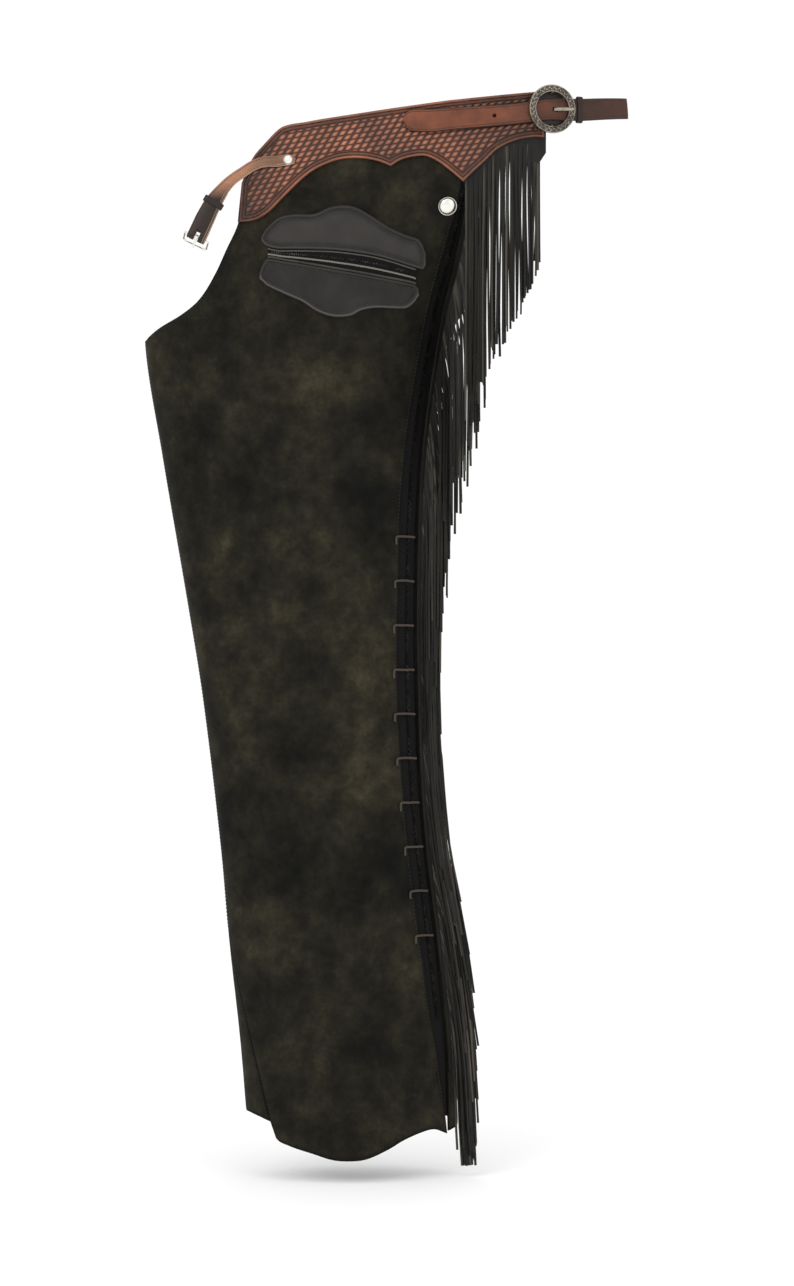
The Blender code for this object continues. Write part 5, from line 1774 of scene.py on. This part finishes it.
class ChapColours(bpy.types.PropertyGroup):
    """Colours of the leathers, threads and metals."""

    suede_dark: colour_of("Suede dark", "Blackened suede", (0.003, 0.003, 0.0025))
    suede_olive: colour_of("Suede olive", "Olive suede", (0.0165, 0.0145, 0.0085))
    suede_pale: colour_of("Suede pale", "Rubbed suede", (0.046, 0.039, 0.0225))
    yoke_brown: colour_of("Yoke brown", "Saddle brown of the yoke", (0.13, 0.039, 0.019))
    # Pale brown of the stamp tops and lip: partly rubbed leather, partly painted highlight.
    yoke_rubbed_and_highlight: colour_of("Yoke light", "Rubbed brown of the yoke", (0.4, 0.155, 0.085))
    raw_edge: colour_of("Raw edge", "Uncoloured edge of the front strap", (0.36, 0.24, 0.16))
    antique: colour_of("Antique", "Dark dye in cuts and on edges", (0.012, 0.005, 0.003))
    belt_brown: colour_of("Belt brown", "Brown of the belt", (0.145, 0.041, 0.017))
    strap_brown: colour_of("Strap brown", "Brown of the front strap", (0.29, 0.135, 0.075))
    smooth_black: colour_of("Pocket black", "Smooth black of the pocket", (0.0085, 0.0075, 0.0068))
    welt: colour_of("Welt", "Leather of the pocket's welts", (0.028, 0.026, 0.022))
    lace: colour_of("Lace", "Leather of the side laces", (0.005, 0.0036, 0.0028))
    fringe_dark: colour_of("Fringe dark", "Darkest strands", (0.008, 0.0075, 0.0062))
    fringe_light: colour_of("Fringe light", "Palest strands", (0.06, 0.053, 0.041))
    tape_black: colour_of("Tape", "Zip tape", (0.004, 0.004, 0.004))
    silver: colour_of("Silver", "Bright plated metal", (0.82, 0.8, 0.74))
    antique_silver: colour_of("Antique silver", "Dull plated metal", (0.36, 0.32, 0.26))
    dark_thread: colour_of("Dark thread", "Thread in the suede", (0.012, 0.011, 0.009))
    brown_thread: colour_of("Brown thread", "Thread in the brown leather", (0.16, 0.07, 0.035))
    grey_thread: colour_of("Grey thread", "Thread round the pocket", (0.06, 0.056, 0.05))


class ChapStage(bpy.types.PropertyGroup):
    """The studio."""

    lens: bpy.props.FloatProperty(name="Lens", description="Focal length", default=85, unit="CAMERA")
    floor: bpy.props.FloatProperty(name="Floor", description="Side of the square floor", default=30, min=2, unit="LENGTH")
    paper: bpy.props.FloatProperty(name="Paper", description="How pale the floor and backdrop are", default=0.9, min=0, max=1)
    air: bpy.props.FloatProperty(name="Air", description="Strength of the light from all round", default=1.03, min=0, max=5)
    key_power: bpy.props.FloatProperty(name="Key", description="Key light", default=21, unit="POWER")
    fill_power: bpy.props.FloatProperty(name="Fill", description="Fill light", default=6, unit="POWER")
    top_power: bpy.props.FloatProperty(name="Top", description="Top light", default=5, unit="POWER")


class ChapOperator:
    """What the operators share."""

    bl_options = {"REGISTER", "UNDO"}

    def execute(self, context):
        """Builds the pieces."""
        for make in self.pieces:
            make(context.scene.chap_sizes, context.scene.chap_colours)
        return {"FINISHED"}


class CHAPS_OT_leg_panels(ChapOperator, bpy.types.Operator):
    """Build the front and back suede panels"""

    bl_idname = "chaps.leg_panels"
    bl_label = "Leg panels"
    pieces = (leg_front, leg_back)


class CHAPS_OT_yoke(ChapOperator, bpy.types.Operator):
    """Build the tooled yoke"""

    bl_idname = "chaps.yoke"
    bl_label = "Tooled yoke"
    pieces = (yoke,)


class CHAPS_OT_pocket(ChapOperator, bpy.types.Operator):
    """Build the pocket's patches, welts and zip"""

    bl_idname = "chaps.pocket"
    bl_label = "Pocket"
    pieces = (pocket_patches, pocket_zip)


class CHAPS_OT_side_zip(ChapOperator, bpy.types.Operator):
    """Build the side zip and the laces over it"""

    bl_idname = "chaps.side_zip"
    bl_label = "Side zip and laces"
    pieces = (side_zip, laces)


class CHAPS_OT_belt(ChapOperator, bpy.types.Operator):
    """Build the belt and its round buckle"""

    bl_idname = "chaps.belt"
    bl_label = "Belt and round buckle"
    pieces = (belt, ring_buckle, buckle_safe)


class CHAPS_OT_front_strap(ChapOperator, bpy.types.Operator):
    """Build the front strap"""

    bl_idname = "chaps.front_strap"
    bl_label = "Front strap"
    pieces = (front_strap,)


class CHAPS_OT_keepers(ChapOperator, bpy.types.Operator):
    """Build the keepers of the belt and of the front strap"""

    bl_idname = "chaps.keepers"
    bl_label = "Keepers"
    pieces = (keepers,)


class CHAPS_OT_caps(ChapOperator, bpy.types.Operator):
    """Build the concho and the rivet"""

    bl_idname = "chaps.caps"
    bl_label = "Concho and rivet"
    pieces = (caps,)


class CHAPS_OT_fringes(ChapOperator, bpy.types.Operator):
    """Build the fringe of the side seam and the fringe under the yoke"""

    bl_idname = "chaps.fringes"
    bl_label = "Fringes"
    pieces = (seam_fringe, yoke_fringe)


class CHAPS_OT_finishes(ChapOperator, bpy.types.Operator):
    """Give the small solid parts their leather and metal"""

    bl_idname = "chaps.finishes"
    bl_label = "Small parts' finishes"
    pieces = (carried_over,)


class CHAPS_OT_stage(bpy.types.Operator):
    """Build the pale floor, the soft lights and the camera"""

    bl_idname = "chaps.stage"
    bl_label = "Studio"
    bl_options = {"REGISTER", "UNDO"}

    def execute(self, context):
        """Builds the studio."""
        stage(context.scene.chap_stage)
        return {"FINISHED"}


OPERATORS = (
    CHAPS_OT_leg_panels,
    CHAPS_OT_yoke,
    CHAPS_OT_pocket,
    CHAPS_OT_side_zip,
    CHAPS_OT_belt,
    CHAPS_OT_front_strap,
    CHAPS_OT_keepers,
    CHAPS_OT_caps,
    CHAPS_OT_fringes,
    CHAPS_OT_finishes,
    CHAPS_OT_stage,
)


class CHAPS_PT_pieces(bpy.types.Panel):
    """The pieces, sizes and colours in the sidebar"""

    bl_idname = "CHAPS_PT_pieces"
    bl_label = "Chap leg"
    bl_space_type = "VIEW_3D"
    bl_region_type = "UI"
    bl_category = "Chap leg"

    def draw(self, context):
        """Lists the operators and their settings."""
        for kind in OPERATORS:
            self.layout.operator(kind.bl_idname)
        for group in (context.scene.chap_sizes, context.scene.chap_colours, context.scene.chap_stage):
            box = self.layout.box()
            for key in group.__annotations__:
                box.prop(group, key)


CLASSES = (ChapSizes, ChapColours, ChapStage, *OPERATORS, CHAPS_PT_pieces)


def register():
    """Registers the classes and their settings."""
    for kind in CLASSES:
        bpy.utils.register_class(kind)
    bpy.types.Scene.chap_sizes = bpy.props.PointerProperty(type=ChapSizes)
    bpy.types.Scene.chap_colours = bpy.props.PointerProperty(type=ChapColours)
    bpy.types.Scene.chap_stage = bpy.props.PointerProperty(type=ChapStage)


def unregister():
    """Takes the classes and their settings away."""
    del bpy.types.Scene.chap_stage
    del bpy.types.Scene.chap_colours
    del bpy.types.Scene.chap_sizes
    for kind in reversed(CLASSES):
        bpy.utils.unregister_class(kind)


def main():
    """Builds the leg piece by piece."""
    register()
    bpy.ops.chaps.leg_panels()
    bpy.ops.chaps.yoke()
    bpy.ops.chaps.pocket()
    bpy.ops.chaps.side_zip()
    bpy.ops.chaps.belt()
    bpy.ops.chaps.front_strap()
    bpy.ops.chaps.keepers()
    bpy.ops.chaps.caps()
    bpy.ops.chaps.fringes()
    bpy.ops.chaps.finishes()
    bpy.ops.chaps.stage()


if __name__ == "__main__":
    main()
